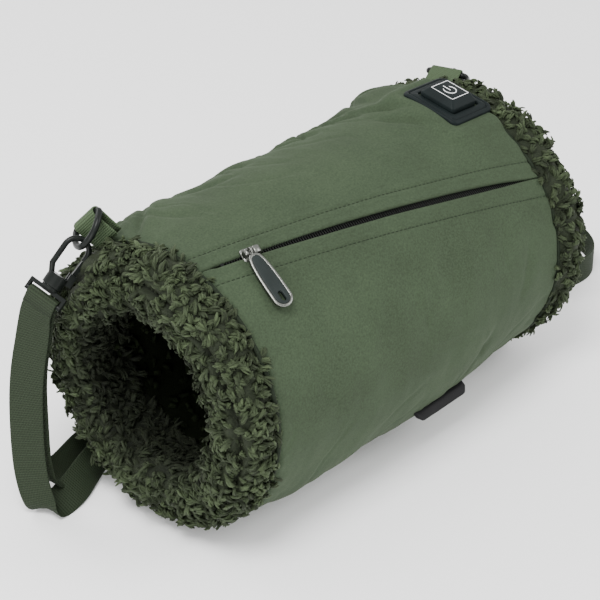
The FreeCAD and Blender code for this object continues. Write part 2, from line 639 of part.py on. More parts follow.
# ---------------------------------------------------------------- strap
def band_line(points):
    """Places along a path of straight runs and tangent arcs."""
    line = [points[0]]
    for a, p, b in zip(points, points[1:], points[2:]):
        u, w = (a - p), (b - p)
        half = (math.pi - u.getAngle(w)) / 2
        cut = 0.45 * min(u.Length, w.Length)
        u.normalize()
        w.normalize()
        radius = cut / math.tan(half)
        mid = unit(u + w)
        side = unit(w - u)
        centre = p + mid * math.hypot(radius, cut)
        count = 2 + int(math.degrees(2 * half) / 12)
        for step in range(count + 1):
            a = -half + 2 * half * step / count
            line.append(centre - mid * (radius * math.cos(a)) + side * (radius * math.sin(a)))
    return line + [points[-1]]


def running_length(points):
    """Length along a line up to each of its points."""
    marks = [0.0]
    for a, b in zip(points, points[1:]):
        marks.append(marks[-1] + (b - a).Length)
    return marks


def band_widths(route, line):
    """Width directions at a line's points, blended between those of the route's points."""
    marks = running_length([p for p, w in route])
    places = running_length(line)
    scale = marks[-1] / places[-1]
    widths = []
    i = 0
    for s in (place * scale for place in places):
        while i < len(marks) - 2 and s > marks[i + 1]:
            i += 1
        t = min(1.0, max(0.0, (s - marks[i]) / (marks[i + 1] - marks[i])))
        widths.append(unit(unit(route[i][1]) * (1 - t) + unit(route[i + 1][1]) * t))
    return widths


def band(route, width, thick):
    """A solid flat band along a route, built from triangles."""
    line = band_line([p for p, w in route])
    rings = []
    for i, (pos, across) in enumerate(zip(line, band_widths(route, line))):
        along = unit(line[min(i + 1, len(line) - 1)] - line[max(i - 1, 0)])
        across = reject(across, along)
        face = along.cross(across)
        corners = ((1, 1), (1, -1), (-1, -1), (-1, 1))
        rings.append([pos + across * (a * width / 2) + face * (f * thick / 2) for a, f in corners])
    faces = []
    for r0, r1 in zip(rings, rings[1:]):
        for k in range(4):
            n = (k + 1) % 4
            faces.append(triangle(r0[k], r1[k], r1[n]))
            faces.append(triangle(r0[k], r1[n], r0[n]))
    for ring in (rings[0], rings[-1]):
        faces.append(triangle(ring[0], ring[1], ring[2]))
        faces.append(triangle(ring[0], ring[2], ring[3]))
    solid = Part.makeSolid(Part.makeShell(faces))
    if solid.Volume < 0:
        solid.reverse()
    return solid


def triangle(a, b, c):
    return Part.Face(Part.makePolygon([a, b, c, a]))


def wrap(bar, across, pull, front):
    """The strap's turn round a base bar, from its back to its front."""
    start = bar - front * WRAP_R
    half_w, half_t = WEB_W / 2, WEB_T / 2
    corners = [(-half_w, -half_t), (half_w, -half_t), (half_w, half_t), (-half_w, half_t),
               (-half_w, -half_t)]
    face = Part.Face(Part.makePolygon([start + across * a + front * t for a, t in corners]))
    sign = 1 if across.cross(front * -1).dot(pull * -1) > 0 else -1
    return face.revolve(bar, across * sign, 180)


def bar_frame(end, toward):
    """Base bar, its direction, the strap's pull towards a point, and its outer side."""
    bar, across = base_bar(end)
    pull = reject(toward - bar, across)
    front = unit(across.cross(pull))
    front = front if front.dot(end["strap_out"]) > 0 else front * -1
    return bar, across, pull, front


def make_strap():
    """Webbing strap: round the near bar, along the floor behind the tube, to the far bar."""
    bar, across, pull, front = bar_frame(ENDS["near"], STRAP_ROUTE[0][0])
    far_bar, far_across, far_pull, far_front = bar_frame(ENDS["far"], STRAP_ROUTE[-1][0])
    start = bar + front * WRAP_R
    end = far_bar + far_front * WRAP_R
    route = [(start, across), (start + pull * 9, across)] + STRAP_ROUTE
    route += [(end + far_pull * 9, far_across), (end, far_across)]
    body = band(route, WEB_W, WEB_T)
    hem_start = far_bar - far_front * WRAP_R
    hem_route = [(hem_start, far_across), (hem_start + far_pull * 12, far_across),
                 (hem_start + far_pull * 20 + far_front * 0.6, far_across),
                 (hem_start + far_pull * 30 + far_front * 1.4, far_across)]
    hem = band(hem_route, WEB_W, WEB_T)
    return Part.makeCompound([wrap(bar, across, pull, front), body,
                              wrap(far_bar, far_across, far_pull, far_front), hem])


def make_return():
    """The strap's doubled layer, from the near bar back to the adjuster."""
    bar, across, pull, front = bar_frame(ENDS["near"], STRAP_ROUTE[0][0])
    start = bar - front * WRAP_R
    route = [(start, across), (start + pull * 9, across)] + RETURN_ROUTE
    return band(route, WEB_W, WEB_T)


def make_adjuster():
    """Ladder slide that sets the strap's length, standing on edge with the webbing."""
    plate = rounded_plate(24.0, 27.0, -1.4, 1.4, 3.0)
    for x in (-6.2, 6.2):
        plate = plate.cut(box(x - 2.6, -10.8, -3, x + 2.6, 10.8, 3))
    return place(plate, ADJUSTER_O, V(1, 0.045, 0), V(0, 1, 0))


def main():
    os.makedirs(PARTS, exist_ok=True)
    save(make_shell().cut(shell_switch_hole()), "outer_shell")
    save(make_wadding([LEAD_PATH, PAD_LEAD_PATH]), "wadding")
    save(pipe_x(TUNNEL_R, LINING_R, -SEAM_X, SEAM_X), "hand_lining")
    save(arc_plate(PAD_R, PAD_R + PAD_T, -PAD_HALF_X, PAD_HALF_X, -PAD_HALF_DEG, PAD_HALF_DEG),
         "heating_pad")
    save(make_cuff(ENDS["near"], -1, R_NEAR - 0.5, R_NEAR + 1.2, 27.5, 50.0), "near_cuff")
    save(make_cuff(ENDS["far"], 1, R_FAR - 0.5, R_FAR + 3.4, 31.0, 50.0), "far_cuff")
    save(make_piping(R_NEAR, -1), "near_seam_binding")
    save(make_piping(R_FAR, 1), "far_seam_binding")
    save(make_pocket(), "pocket_bag")
    save(make_label(), "side_label")

    for name, sign in (("zip_tape_upper", 1), ("zip_tape_lower", -1)):
        save(make_tape(sign), name)
    save(zip_strip(-CHAIN_W / 2, CHAIN_W / 2, TAPE_TOP + 0.05, -0.7, 12, ZIP_LEN - 8), "zip_chain")
    save(zip_stops(), "zip_end_stops")
    save(make_slider(), "zip_slider")
    save(make_puller(), "puller_frame")
    save(make_insert(), "puller_grips")

    save(make_patch(), "switch_patch")
    save(make_button(), "switch_button")
    save(make_board(), "switch_board")
    save(make_tact(), "tact_switch")
    save(tube(LEAD_PATH, LEAD_D), "power_lead")
    save(tube(PAD_LEAD_PATH, PAD_LEAD_D), "pad_lead")
    plug_dir = LEAD_PATH[-1] - LEAD_PATH[-2]
    plug_up = V(0, -0.80, 0.60)
    save(place(rounded_plate(28.0, 15.0, -3.6, 3.6, 2.0), LEAD_PATH[-1] + unit(plug_dir) * 14,
               plug_dir, plug_up), "usb_plug_body")
    save(place(box(0, -6.0, -2.25, 18.0, 6.0, 2.25).cut(box(2, -5.6, -1.85, 19, 5.6, 1.85)),
               LEAD_PATH[-1] + unit(plug_dir) * 28, plug_dir, plug_up), "usb_plug_shield")

    makers = {"webbing_tab": make_tab, "d_ring": make_ring, "hook_frame": make_hook,
              "hook_gate": make_gate, "gate_pin": make_gate_pin, "hook_base": make_base}
    for side, end in ENDS.items():
        for name, make in makers.items():
            save(make(end), side + "_" + name)
    save(make_strap(), "strap")
    save(make_return(), "strap_doubled_layer")
    save(make_adjuster(), "strap_adjuster")


main()
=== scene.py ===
import math
import random

import bpy
import numpy as np
from mathutils import Matrix, Vector, noise


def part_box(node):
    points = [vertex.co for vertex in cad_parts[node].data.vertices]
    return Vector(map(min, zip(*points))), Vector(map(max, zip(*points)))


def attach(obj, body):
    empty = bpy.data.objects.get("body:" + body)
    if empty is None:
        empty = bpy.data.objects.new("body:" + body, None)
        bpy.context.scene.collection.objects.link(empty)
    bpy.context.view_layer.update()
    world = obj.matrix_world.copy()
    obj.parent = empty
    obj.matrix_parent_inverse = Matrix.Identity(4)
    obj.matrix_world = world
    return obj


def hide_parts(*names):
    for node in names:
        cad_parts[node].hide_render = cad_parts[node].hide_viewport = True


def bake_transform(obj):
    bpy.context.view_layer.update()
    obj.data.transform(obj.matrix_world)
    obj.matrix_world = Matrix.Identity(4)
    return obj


# Heated hand warmer muff.  Lengths in this script are millimetres, in the CAD frame: X along
# the hand tunnel (the switch is near +X), -Y the zipped side, Z up from the floor.

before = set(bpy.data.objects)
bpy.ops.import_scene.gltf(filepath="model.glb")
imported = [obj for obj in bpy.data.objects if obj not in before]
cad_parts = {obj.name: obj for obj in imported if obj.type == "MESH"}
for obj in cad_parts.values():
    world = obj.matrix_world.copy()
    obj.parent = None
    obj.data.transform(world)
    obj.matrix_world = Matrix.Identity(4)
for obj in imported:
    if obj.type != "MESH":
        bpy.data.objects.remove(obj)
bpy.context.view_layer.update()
random.seed(11)
MM = 0.001

# ---- the tube ----
AXIS_Z = 90.0
SEAM_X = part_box("outer_shell")[1][0] / MM      # seams between shell and cuffs, at both ends
R_MID, R_NEAR, R_FAR = 92.5, 85.0, 88.0        # shell radius at the middle and at the seams
HEM = 1.6                                      # depth that the shell tucks in at a seam

# ---- the zip ----
ZIP_X0, ZIP_DEG0 = -120.0, 18.2
ZIP_X1, ZIP_DEG1 = 122.0, 51.0
SLIDER_START = 27.0
COIL_PITCH, COIL_SIDE = 1.7, -0.7             # the coil sits a little below the middle of the gap
STITCH_UP, STITCH_DOWN = 12.0, 12.5            # stitch lines above and below the zip

# ---- the switch ----
SWITCH_X, SWITCH_DEG, SWITCH_LIFT = 109.0, 4.8, 5.2
SWITCH_TILT, SWITCH_ROLL = -0.07, 4.0          # the pad leans down to the far end and to the front
PATCH_HALF_X, PATCH_HALF_Y, PATCH_BEND = 19.6, 22.1, 0.0055
BUTTON_HALF_X, BUTTON_HALF_Y = 12.0, 13.5

# ---- the webbing ----
WEB_W, WEB_T = 20.0, 1.3
WRAP_R = 1.6 + 0.25 + WEB_T / 2

# The strap's centre line from the near hook bar to the far one, with the width's direction.
STRAP_ROUTE = [
    ((-174.0, 61.5, 120.0), (0.45, -0.88, -0.16)), ((-181.5, 63.5, 88.0), (0.55, -0.83, -0.06)),
    ((-186.5, 61.0, 54.0), (0.58, -0.81, -0.02)), ((-190.5, 55.5, 24.0), (0.56, -0.83, 0)),
    ((-188.5, 48.5, 2.2), (0.54, -0.84, 0)), ((-167.0, 47.5, 6.8), (0.35, -0.75, -0.56)),
    ((-143.0, 57.0, 10.5), (0.1, -0.55, -0.83)), ((-106.0, 68.0, 13.8), (0, -0.12, -0.99)),
    ((-50.0, 73.0, 13.8), (0, 0, -1)), ((6.0, 71.5, 12.4), (0, 0, -1)),
    ((62.0, 75.0, 10.6), (0, 0, -1)), ((114.0, 73.0, 10.6), (0, 0, -1)),
    ((158.0, 52.0, 10.6), (0, 0, -1)), ((192.0, 10.0, 10.6), (0, 0, -1)),
    ((220.0, -27.0, 10.6), (0, 0, -1)), ((258.0, -31.0, 10.6), (0, 0, -1)),
    ((279.0, -2.0, 11.0), (0, 0, -1)), ((271.0, 34.0, 18.0), (-0.1, -0.3, -0.95)),
    ((249.0, 54.0, 40.0), (0.0, -0.6, -0.8)), ((219.0, 58.0, 70.0), (0.2, -0.85, -0.4)),
    ((192.0, 53.0, 104.0), (0.34, -0.93, -0.1))]
RETURN_ROUTE = [
    ((-170.5, 63.5, 119.0), (0.45, -0.88, -0.16)), ((-176.5, 66.0, 88.0), (0.55, -0.83, -0.06)),
    ((-179.5, 64.0, 58.0), (0.58, -0.81, -0.02)), ((-183.0, 60.5, 32.0), (0.56, -0.83, 0)),
    ((-179.5, 59.5, 15.5), (0.48, -0.87, -0.08)), ((-161.5, 62.5, 12.6), (0.25, -0.62, -0.73)),
    ((-138.0, 71.5, 14.6), (0, -0.3, -0.95)), ((-106.0, 78.2, 12.6), (0, 0, -1)),
    ((-70.0, 78.6, 13.8), (0, 0, -1))]
STRAP_SPLIT = 9          # the route's point that the adjuster hides

# How the hardware hangs at each end, as in the CAD.
ENDS = {
    "near": {"tab_root": Vector((-125.0, 46.8, 161.5)), "tab_fold": Vector((-131.5, 57.9, 174.8)),
             "tab_reach": 17.0, "fold_dir": Vector((0.171, -0.656, 0.736)),
             "ring_dir": Vector((-0.701, -0.605, -0.376)), "hook_dir": Vector((-0.706, 0.133, -0.697)),
             "bar_dir": Vector((0.176, -0.918, -0.355)), "grip_deg": 125.0,
             "strap_out": Vector((-1, -1, 1))},
    "far": {"tab_root": Vector((126.0, 22.0, 174.6)), "tab_fold": Vector((148.0, 24.5, 178.2)),
            "tab_reach": 20.5, "fold_dir": Vector((0.363, -0.931, -0.022)),
            "ring_dir": Vector((0.72, 0.30, -0.62)), "hook_dir": Vector((0.42, 0.40, -0.82)),
            "bar_dir": Vector((0.363, -0.931, -0.022)), "grip_deg": 90.0,
            "strap_out": Vector((1, 1, 1))},
}
RING_HALF, RING_STRAIGHT, RING_WIRE, HOOK_LEN = 12.3, 5.0, 2.0, 35.0
HOOK_DEPTH, TAB_DEPTH = 12.0, 9.0               # room in the pile round a hook and a tab


# ================================================================ small helpers
def unit(v):
    return Vector(v).normalized()


def reject(v, axis):
    """The part of v that is square to axis, as a unit vector."""
    a = unit(axis)
    return unit(Vector(v) - a * Vector(v).dot(a))


def smoothstep(low, high, x):
    t = min(1.0, max(0.0, (x - low) / (high - low)))
    return t * t * (3 - 2 * t)


def fbm(x, y, z, scale):
    """Two octaves of smooth noise, about -1 to 1."""
    p = Vector((x, y, z)) / scale
    return noise.noise(p) + 0.5 * noise.noise(p * 2.1 + Vector((7.3, 1.9, 4.4)))


def frame_matrix(origin, x_dir, z_dir):
    """Placement with x and z along the two directions, as the CAD's place()."""
    x = unit(x_dir)
    z = reject(z_dir, x)
    y = z.cross(x)
    m = Matrix((x, y, z)).transposed().to_4x4()
    m.translation = Vector(origin)
    return m


def add_piece(name, points, faces, material, body="root", replaces=(), grain=None,
              shade=None):
    """A mesh piece in the frame, from points in millimetres."""
    mesh = bpy.data.meshes.new(name)
    mesh.from_pydata(np.asarray([tuple(p) for p in points]) * MM, [], faces)
    mesh.polygons.foreach_set("use_smooth", [True] * len(mesh.polygons))
    if grain is not None:
        layer = mesh.attributes.new("grain", "FLOAT_VECTOR", "POINT")
        layer.data.foreach_set("vector", np.asarray(grain, dtype=np.float32).ravel())
    if shade is not None:
        layer = mesh.attributes.new("shade", "FLOAT", "POINT")
        layer.data.foreach_set("value", np.asarray(shade, dtype=np.float32))
    mesh.materials.append(material)
    piece = bpy.data.objects.new(name, mesh)
    bpy.context.scene.collection.objects.link(piece)
    if body:
        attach(piece, body)
    if replaces:
        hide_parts(*replaces)
    return piece


def loft(loops, closed_loops=True, cap_start=False, cap_end=False):
    """Quads between rows of points that have the same count, as (points, faces)."""
    count = len(loops[0])
    points = [p for loop in loops for p in loop]
    faces = []
    last = count if closed_loops else count - 1
    for row in range(len(loops) - 1):
        a, b = row * count, (row + 1) * count
        for i in range(last):
            j = (i + 1) % count
            faces.append((a + i, a + j, b + j, b + i))
    if cap_start:
        faces.append(tuple(reversed(range(count))))
    if cap_end:
        faces.append(tuple(range(len(points) - count, len(points))))
    return points, faces


def merge(parts):
    """Several (points, faces) as one."""
    points, faces = [], []
    for pts, fcs in parts:
        base = len(points)
        points.extend(pts)
        faces.extend(tuple(base + i for i in f) for f in fcs)
    return points, faces


def rod(path, radius, sides=8):
    """A round bar along a path of points, with capped ends."""
    loops = []
    side = reject((0.31, 0.62, 0.72), path[1] - path[0])
    for i, p in enumerate(path):
        along = unit(path[min(i + 1, len(path) - 1)] - path[max(i - 1, 0)])
        side = reject(side, along)
        up = along.cross(side)
        r = radius(i / (len(path) - 1)) if callable(radius) else radius
        loops.append([p + (side * math.cos(a) + up * math.sin(a)) * r
                      for a in (2 * math.pi * k / sides for k in range(sides))])
    return loft(loops, True, True, True)


def hook_grip(end):
    """Where the hook holds the ring."""
    across = unit(end["fold_dir"])
    down = reject(end["ring_dir"], across)
    a = math.radians(end["grip_deg"])
    return end["tab_fold"] + down * (RING_STRAIGHT + RING_HALF * math.sin(a)) + across * (RING_HALF * math.cos(a))


HARDWARE_ROOM = []
for hanger in ENDS.values():
    grip = hook_grip(hanger)
    across = unit(hanger["fold_dir"])
    HARDWARE_ROOM.append((grip - unit(hanger["hook_dir"]) * 4, grip + unit(hanger["hook_dir"]) * 34, HOOK_DEPTH))
    HARDWARE_ROOM.append((hanger["tab_fold"] - across * 7, hanger["tab_fold"] + across * 7, TAB_DEPTH))
    HARDWARE_ROOM.append((hanger["tab_fold"], grip, TAB_DEPTH))


# ================================================================ materials
def material_nodes(name):
    mat = bpy.data.materials.new(name)
    mat.use_nodes = True
    nodes, links = mat.node_tree.nodes, mat.node_tree.links
    return mat, nodes, links, nodes["Principled BSDF"]


def noise_node(nodes, links, vector, scale, detail=3.0):
    tex = nodes.new("ShaderNodeTexNoise")
    tex.inputs["Scale"].default_value = scale
    tex.inputs["Detail"].default_value = detail
    links.new(vector, tex.inputs["Vector"])
    return tex.outputs["Fac"]


def mix_colours(nodes, links, factor, low, high, f0=0.3, f1=0.7):
    """A colour between two, by a factor that is spread between f0 and f1."""
    ramp = nodes.new("ShaderNodeValToRGB")
    ramp.color_ramp.elements[0].position = f0
    ramp.color_ramp.elements[1].position = f1
    ramp.color_ramp.elements[0].color = (*low, 1)
    ramp.color_ramp.elements[1].color = (*high, 1)
    links.new(factor, ramp.inputs["Fac"])
    return ramp.outputs["Color"]


def maths(nodes, links, kind, a, b):
    node = nodes.new("ShaderNodeMath")
    node.operation = kind
    for socket, value in zip(node.inputs, (a, b)):
        if isinstance(value, (int, float)):
            socket.default_value = value
        else:
            links.new(value, socket)
    return node.outputs[0]


def add_bump(nodes, links, shader, height, distance, strength=1.0):
    bump = nodes.new("ShaderNodeBump")
    bump.inputs["Strength"].default_value = strength
    bump.inputs["Distance"].default_value = distance * MM
    links.new(height, bump.inputs["Height"])
    links.new(bump.outputs["Normal"], shader.inputs["Normal"])


def object_coords(nodes):
    return nodes.new("ShaderNodeTexCoord").outputs["Object"]


def attribute(nodes, name, output):
    node = nodes.new("ShaderNodeAttribute")
    node.attribute_name = name
    return node.outputs[output]


def scaled(colour, k):
    return tuple(c * k for c in colour)


def shell_fabric():
    """Brushed woven microfibre: fine grain, soft sheen, slight mottling."""
    mat, nodes, links, shader = material_nodes("shell_fabric")
    where = object_coords(nodes)
    mottle = noise_node(nodes, links, where, 26.0, 4.0)
    fine = noise_node(nodes, links, where, 900.0, 2.0)
    both = maths(nodes, links, "ADD", maths(nodes, links, "MULTIPLY", mottle, 0.35),
                 maths(nodes, links, "MULTIPLY", fine, 0.65))
    links.new(mix_colours(nodes, links, both, scaled(SHELL_COLOUR, 0.70), scaled(SHELL_COLOUR, 1.30)),
              shader.inputs["Base Color"])
    shader.inputs["Roughness"].default_value = 0.85
    shader.inputs["Specular IOR Level"].default_value = 0.12
    shader.inputs["Sheen Weight"].default_value = 0.05
    shader.inputs["Sheen Roughness"].default_value = 0.5
    shader.inputs["Sheen Tint"].default_value = (0.60, 0.75, 0.50, 1)
    add_bump(nodes, links, shader, noise_node(nodes, links, where, 1500.0, 3.0), 0.16, 0.7)
    return mat


def pile_fabric(name, colour, root, gloss):
    """Curly pile: painted shade darkens the roots, the tips are lighter, with fine fibres along each lock."""
    mat, nodes, links, shader = material_nodes(name)
    grain = attribute(nodes, "grain", "Vector")
    fibres = noise_node(nodes, links, grain, 3.2, 3.0)
    tip = mix_colours(nodes, links, attribute(nodes, "shade", "Fac"), root, colour, 0.0, 1.0)
    light = mix_colours(nodes, links, fibres, (0.62, 0.62, 0.62), (1.35, 1.35, 1.3), 0.34, 0.66)
    mix = nodes.new("ShaderNodeMix")
    mix.data_type = "RGBA"
    mix.blend_type = "MULTIPLY"
    mix.inputs["Factor"].default_value = 1.0
    links.new(tip, mix.inputs[6])
    links.new(light, mix.inputs[7])
    links.new(mix.outputs[2], shader.inputs["Base Color"])
    shader.inputs["Roughness"].default_value = 0.7
    shader.inputs["Specular IOR Level"].default_value = gloss
    shader.inputs["Sheen Weight"].default_value = 0.25 * gloss
    shader.inputs["Sheen Tint"].default_value = (0.7, 0.8, 0.5, 1)
    add_bump(nodes, links, shader, fibres, 0.5, 0.9)
    return mat


def webbing(name, colour, rib=1.5):
    """Ribbed twill webbing: ribs across the band and a slanting weave between them."""
    mat, nodes, links, shader = material_nodes(name)
    split = nodes.new("ShaderNodeSeparateXYZ")
    links.new(attribute(nodes, "grain", "Vector"), split.inputs[0])
    across, along = split.outputs[0], split.outputs[1]
    ribs = maths(nodes, links, "SINE", maths(nodes, links, "MULTIPLY", along, 2 * math.pi / rib), 0)
    slant = maths(nodes, links, "ADD", maths(nodes, links, "MULTIPLY", across, 3.6),
                  maths(nodes, links, "MULTIPLY", along, 1.7))
    weave = maths(nodes, links, "SINE", slant, 0)
    height = maths(nodes, links, "ADD", maths(nodes, links, "MULTIPLY", ribs, 0.34),
                   maths(nodes, links, "MULTIPLY", weave, 0.16))
    height = maths(nodes, links, "ADD", height, 0.5)
    fuzz = noise_node(nodes, links, object_coords(nodes), 1100.0, 2.0)
    tone = maths(nodes, links, "ADD", maths(nodes, links, "MULTIPLY", height, 0.6),
                 maths(nodes, links, "MULTIPLY", fuzz, 0.4))
    links.new(mix_colours(nodes, links, tone, scaled(colour, 0.60), scaled(colour, 1.4), 0.15, 0.85),
              shader.inputs["Base Color"])
    shader.inputs["Roughness"].default_value = 0.7
    shader.inputs["Specular IOR Level"].default_value = 0.15
    add_bump(nodes, links, shader, height, 0.4, 0.8)
    return mat


def plain_cloth(name, colour, scale=1300.0, roughness=0.8):
    mat, nodes, links, shader = material_nodes(name)
    where = object_coords(nodes)
    fine = noise_node(nodes, links, where, scale, 2.0)
    links.new(mix_colours(nodes, links, fine, scaled(colour, 0.7), scaled(colour, 1.3)),
              shader.inputs["Base Color"])
    shader.inputs["Roughness"].default_value = roughness
    shader.inputs["Specular IOR Level"].default_value = 0.12
    add_bump(nodes, links, shader, fine, 0.15, 0.6)
    return mat


def moulded(name, colour, roughness=0.45, grain=900.0, variation=0.12, gloss=0.22):
    """Plastic, rubber or painted metal with a fine grain and slight wear in its gloss."""
    mat, nodes, links, shader = material_nodes(name)
    where = object_coords(nodes)
    fine = noise_node(nodes, links, where, grain, 2.0)
    broad = noise_node(nodes, links, where, 120.0, 3.0)
    links.new(mix_colours(nodes, links, broad, scaled(colour, 1 - variation),
                          scaled(colour, 1 + variation)), shader.inputs["Base Color"])
    rough = maths(nodes, links, "ADD", maths(nodes, links, "MULTIPLY", broad, 0.2), roughness - 0.1)
    links.new(rough, shader.inputs["Roughness"])
    shader.inputs["Specular IOR Level"].default_value = gloss
    add_bump(nodes, links, shader, fine, 0.03, 0.5)
    return mat


def brushed(name, colour, roughness=0.28):
    """Bright metal with fine scratches along the zip."""
    mat, nodes, links, shader = material_nodes(name)
    stretch = nodes.new("ShaderNodeMapping")
    stretch.inputs["Scale"].default_value = (120.0, 1500.0, 1500.0)
    links.new(object_coords(nodes), stretch.inputs["Vector"])
    lines = noise_node(nodes, links, stretch.outputs["Vector"], 1.0, 2.0)
    links.new(mix_colours(nodes, links, lines, scaled(colour, 0.85), scaled(colour, 1.1)),
              shader.inputs["Base Color"])
    links.new(maths(nodes, links, "ADD", maths(nodes, links, "MULTIPLY", lines, 0.25),
                    roughness - 0.1), shader.inputs["Roughness"])
    shader.inputs["Metallic"].default_value = 1.0
    add_bump(nodes, links, shader, lines, 0.02, 0.4)
    return mat


SHELL_COLOUR = (0.029, 0.0425, 0.0235)
PILE_COLOUR = (0.059, 0.082, 0.040)
WEB_COLOUR = (0.024, 0.036, 0.018)

SHELL = shell_fabric()
# The last colour of each pile is its root colour, nearly black: painted shade deep in the pile.
PILE = pile_fabric("sherpa_pile", PILE_COLOUR, scaled(PILE_COLOUR, 0.04), 0.15)
# The lining is a quarter as bright as the cuff pile: painted shade down the unlit tunnel.
LINING = pile_fabric("fleece_lining", scaled(PILE_COLOUR, 0.24), scaled(PILE_COLOUR, 0.04), 0.02)
# Two copies of one webbing colour: the strap's is darkened as painted shade, the tab's is lightened as painted light
# where it faces the lamps.
SHADED_WEBBING = webbing("webbing", scaled(WEB_COLOUR, 0.60))
LIT_TAB_WEBBING = webbing("lit_tab_webbing", scaled(WEB_COLOUR, 1.8), 1.25)
# The binding is the shell cloth darkened: painted shade in the tucked seam.
SHADED_BINDING = plain_cloth("seam_binding", scaled(SHELL_COLOUR, 0.35))
THREAD = plain_cloth("stitch_thread", scaled(SHELL_COLOUR, 0.45), 2500.0, 0.6)
TAPE = plain_cloth("zip_tape", (0.005, 0.0055, 0.005), 900.0)
LABEL = plain_cloth("label_cloth", (0.006, 0.006, 0.0065), 1700.0, 0.45)
COIL = moulded("zip_coil", (0.004, 0.0045, 0.004), 0.4, 900.0, 0.12, 0.08)
SILICONE = moulded("switch_silicone", (0.0055, 0.0085, 0.0085), 0.5, 700.0, gloss=0.08)
WHITE = moulded("white_mark", (0.85, 0.86, 0.86), 0.5)
METAL = brushed("puller_metal", (0.17, 0.175, 0.16))
RUBBER = moulded("puller_rubber", (0.012, 0.016, 0.015), 0.5, 800.0, gloss=0.12)
BLACK_METAL = moulded("black_hardware", (0.006, 0.0075, 0.0065), 0.30, 600.0, 0.2, 0.13)
PLASTIC = moulded("hardware_plastic", (0.012, 0.012, 0.012), 0.5, 800.0)


# ================================================================ shell
def barrel_radius(x):
    """Radius of the plain tube at a place along it."""
    c = ((R_NEAR + R_FAR) / 2 - R_MID) / SEAM_X ** 2
    b = (R_FAR - R_NEAR) / (2 * SEAM_X)
    return R_MID + b * x + c * x * x


def on_tube(x, deg, r):
    a = math.radians(deg)
    return Vector((x, -r * math.sin(a), AXIS_Z + r * math.cos(a)))


def switch_matrix():
    """Placement of the switch, with z out of its pad."""
    radial = unit(on_tube(0, SWITCH_DEG + SWITCH_ROLL, 1) - Vector((0, 0, AXIS_Z)))
    origin = on_tube(SWITCH_X, SWITCH_DEG, barrel_radius(SWITCH_X) + SWITCH_LIFT)
    return frame_matrix(origin, (1, 0, SWITCH_TILT), radial)


SWITCH_M = switch_matrix()
SWITCH_M_INV = SWITCH_M.inverted()


def circle_through(p, q, s):
    """Centre, radius and unit normal of the circle through three points."""
    u, w = q - p, s - p
    n = u.cross(w)
    centre = p + (w.length_squared * n.cross(u) + u.length_squared * w.cross(n)) / (2 * n.length_squared)
    return centre, (p - centre).length, unit((p - centre).cross(s - centre))


ZIP_P0 = on_tube(ZIP_X0, ZIP_DEG0, barrel_radius(ZIP_X0))
ZIP_P1 = on_tube(ZIP_X1, ZIP_DEG1, barrel_radius(ZIP_X1))
ZIP_XM = (ZIP_X0 + ZIP_X1) / 2
ZIP_PM = on_tube(ZIP_XM, (ZIP_DEG0 + ZIP_DEG1) / 2, barrel_radius(ZIP_XM))
ZIP_C, ZIP_R, ZIP_N = circle_through(ZIP_P0, ZIP_PM, ZIP_P1)
ZIP_OUT0 = unit(ZIP_P0 - ZIP_C)
ZIP_LEN = ZIP_R * ZIP_OUT0.angle(ZIP_P1 - ZIP_C)


def zip_frame(length):
    """Point on the zip line at an arc length, with its outward and forward directions."""
    out = Matrix.Rotation(length / ZIP_R, 3, ZIP_N) @ ZIP_OUT0
    return ZIP_C + out * ZIP_R, out, ZIP_N.cross(out)


ZIP_SAMPLES = [zip_frame(ZIP_LEN * (i / 40 * 1.06 - 0.03))[0] for i in range(41)]
ZIP_SAMPLE_X = [p.x for p in ZIP_SAMPLES]
ZIP_SAMPLE_DEG = [math.degrees(math.atan2(-p.y, p.z - AXIS_Z)) for p in ZIP_SAMPLES]


def zip_degrees(x):
    """Angle from the top towards the front where the zip line passes."""
    return float(np.interp(x, ZIP_SAMPLE_X, ZIP_SAMPLE_DEG))


def under_pad(x, deg):
    """How far the cloth stands out to meet the pad's underside, and how much it has to."""
    to_local = SWITCH_M_INV
    start = to_local @ on_tube(x, deg, barrel_radius(x))
    ray = to_local.to_3x3() @ (on_tube(x, deg, 1) - Vector((x, 0, AXIS_Z)))
    past_x = max(abs(start.x) - PATCH_HALF_X + 2, 0)
    past_y = max(abs(start.y) - PATCH_HALF_Y + 2, 0)
    past = math.hypot(past_x, past_y)
    if past > 16 or ray.z < 0.5:
        return 0.0, 0.0
    y = min(abs(start.y), PATCH_HALF_Y)
    height = 0.5 - 0.5 * smoothstep(4, 0, past) - PATCH_BEND * y * y
    return (height - start.z) / ray.z, smoothstep(16, 2.5, past)


# Where the filling pushes the cloth out: middle as (x, degrees), half widths and height.
SWELLS = [(106, -34, 26, 17, 8.0), (-102, -42, 30, 18, 7.5), (-92, 138, 42, 20, 3.6), (-10, 136, 40, 18, 1.5)]

# Soft creases: start and end as (x, degrees from the top to the front), depth and width.
CREASES = [((70, -20), (88, 3), 3.4, 2.4), ((62, -8), (84, 14), 2.4, 3.0), ((-8, -36), (32, -22), 2.2, 3.0),
           ((40, -34), (70, -16), 2.4, 3.0), ((-70, -30), (-40, -18), 1.8, 3.4),
           ((96, -40), (108, -30), 3.2, 2.2),
           ((-80, -42), (-122, -20), 3.2, 2.6), ((-104, -30), (-90, -6), 1.6, 3.0), ((20, -44), (34, -22), 2.8, 3.0),
           ((-34, -46), (-22, -24), 2.6, 3.0), ((58, -46), (66, -26), 2.8, 2.6), ((100, 68), (84, 96), 1.3, 4.0),
           ((-96, 72), (-74, 104), 1.3, 4.5), ((-20, 66), (10, 92), 0.9, 5.0), ((60, 100), (40, 124), 1.3, 4.0)]


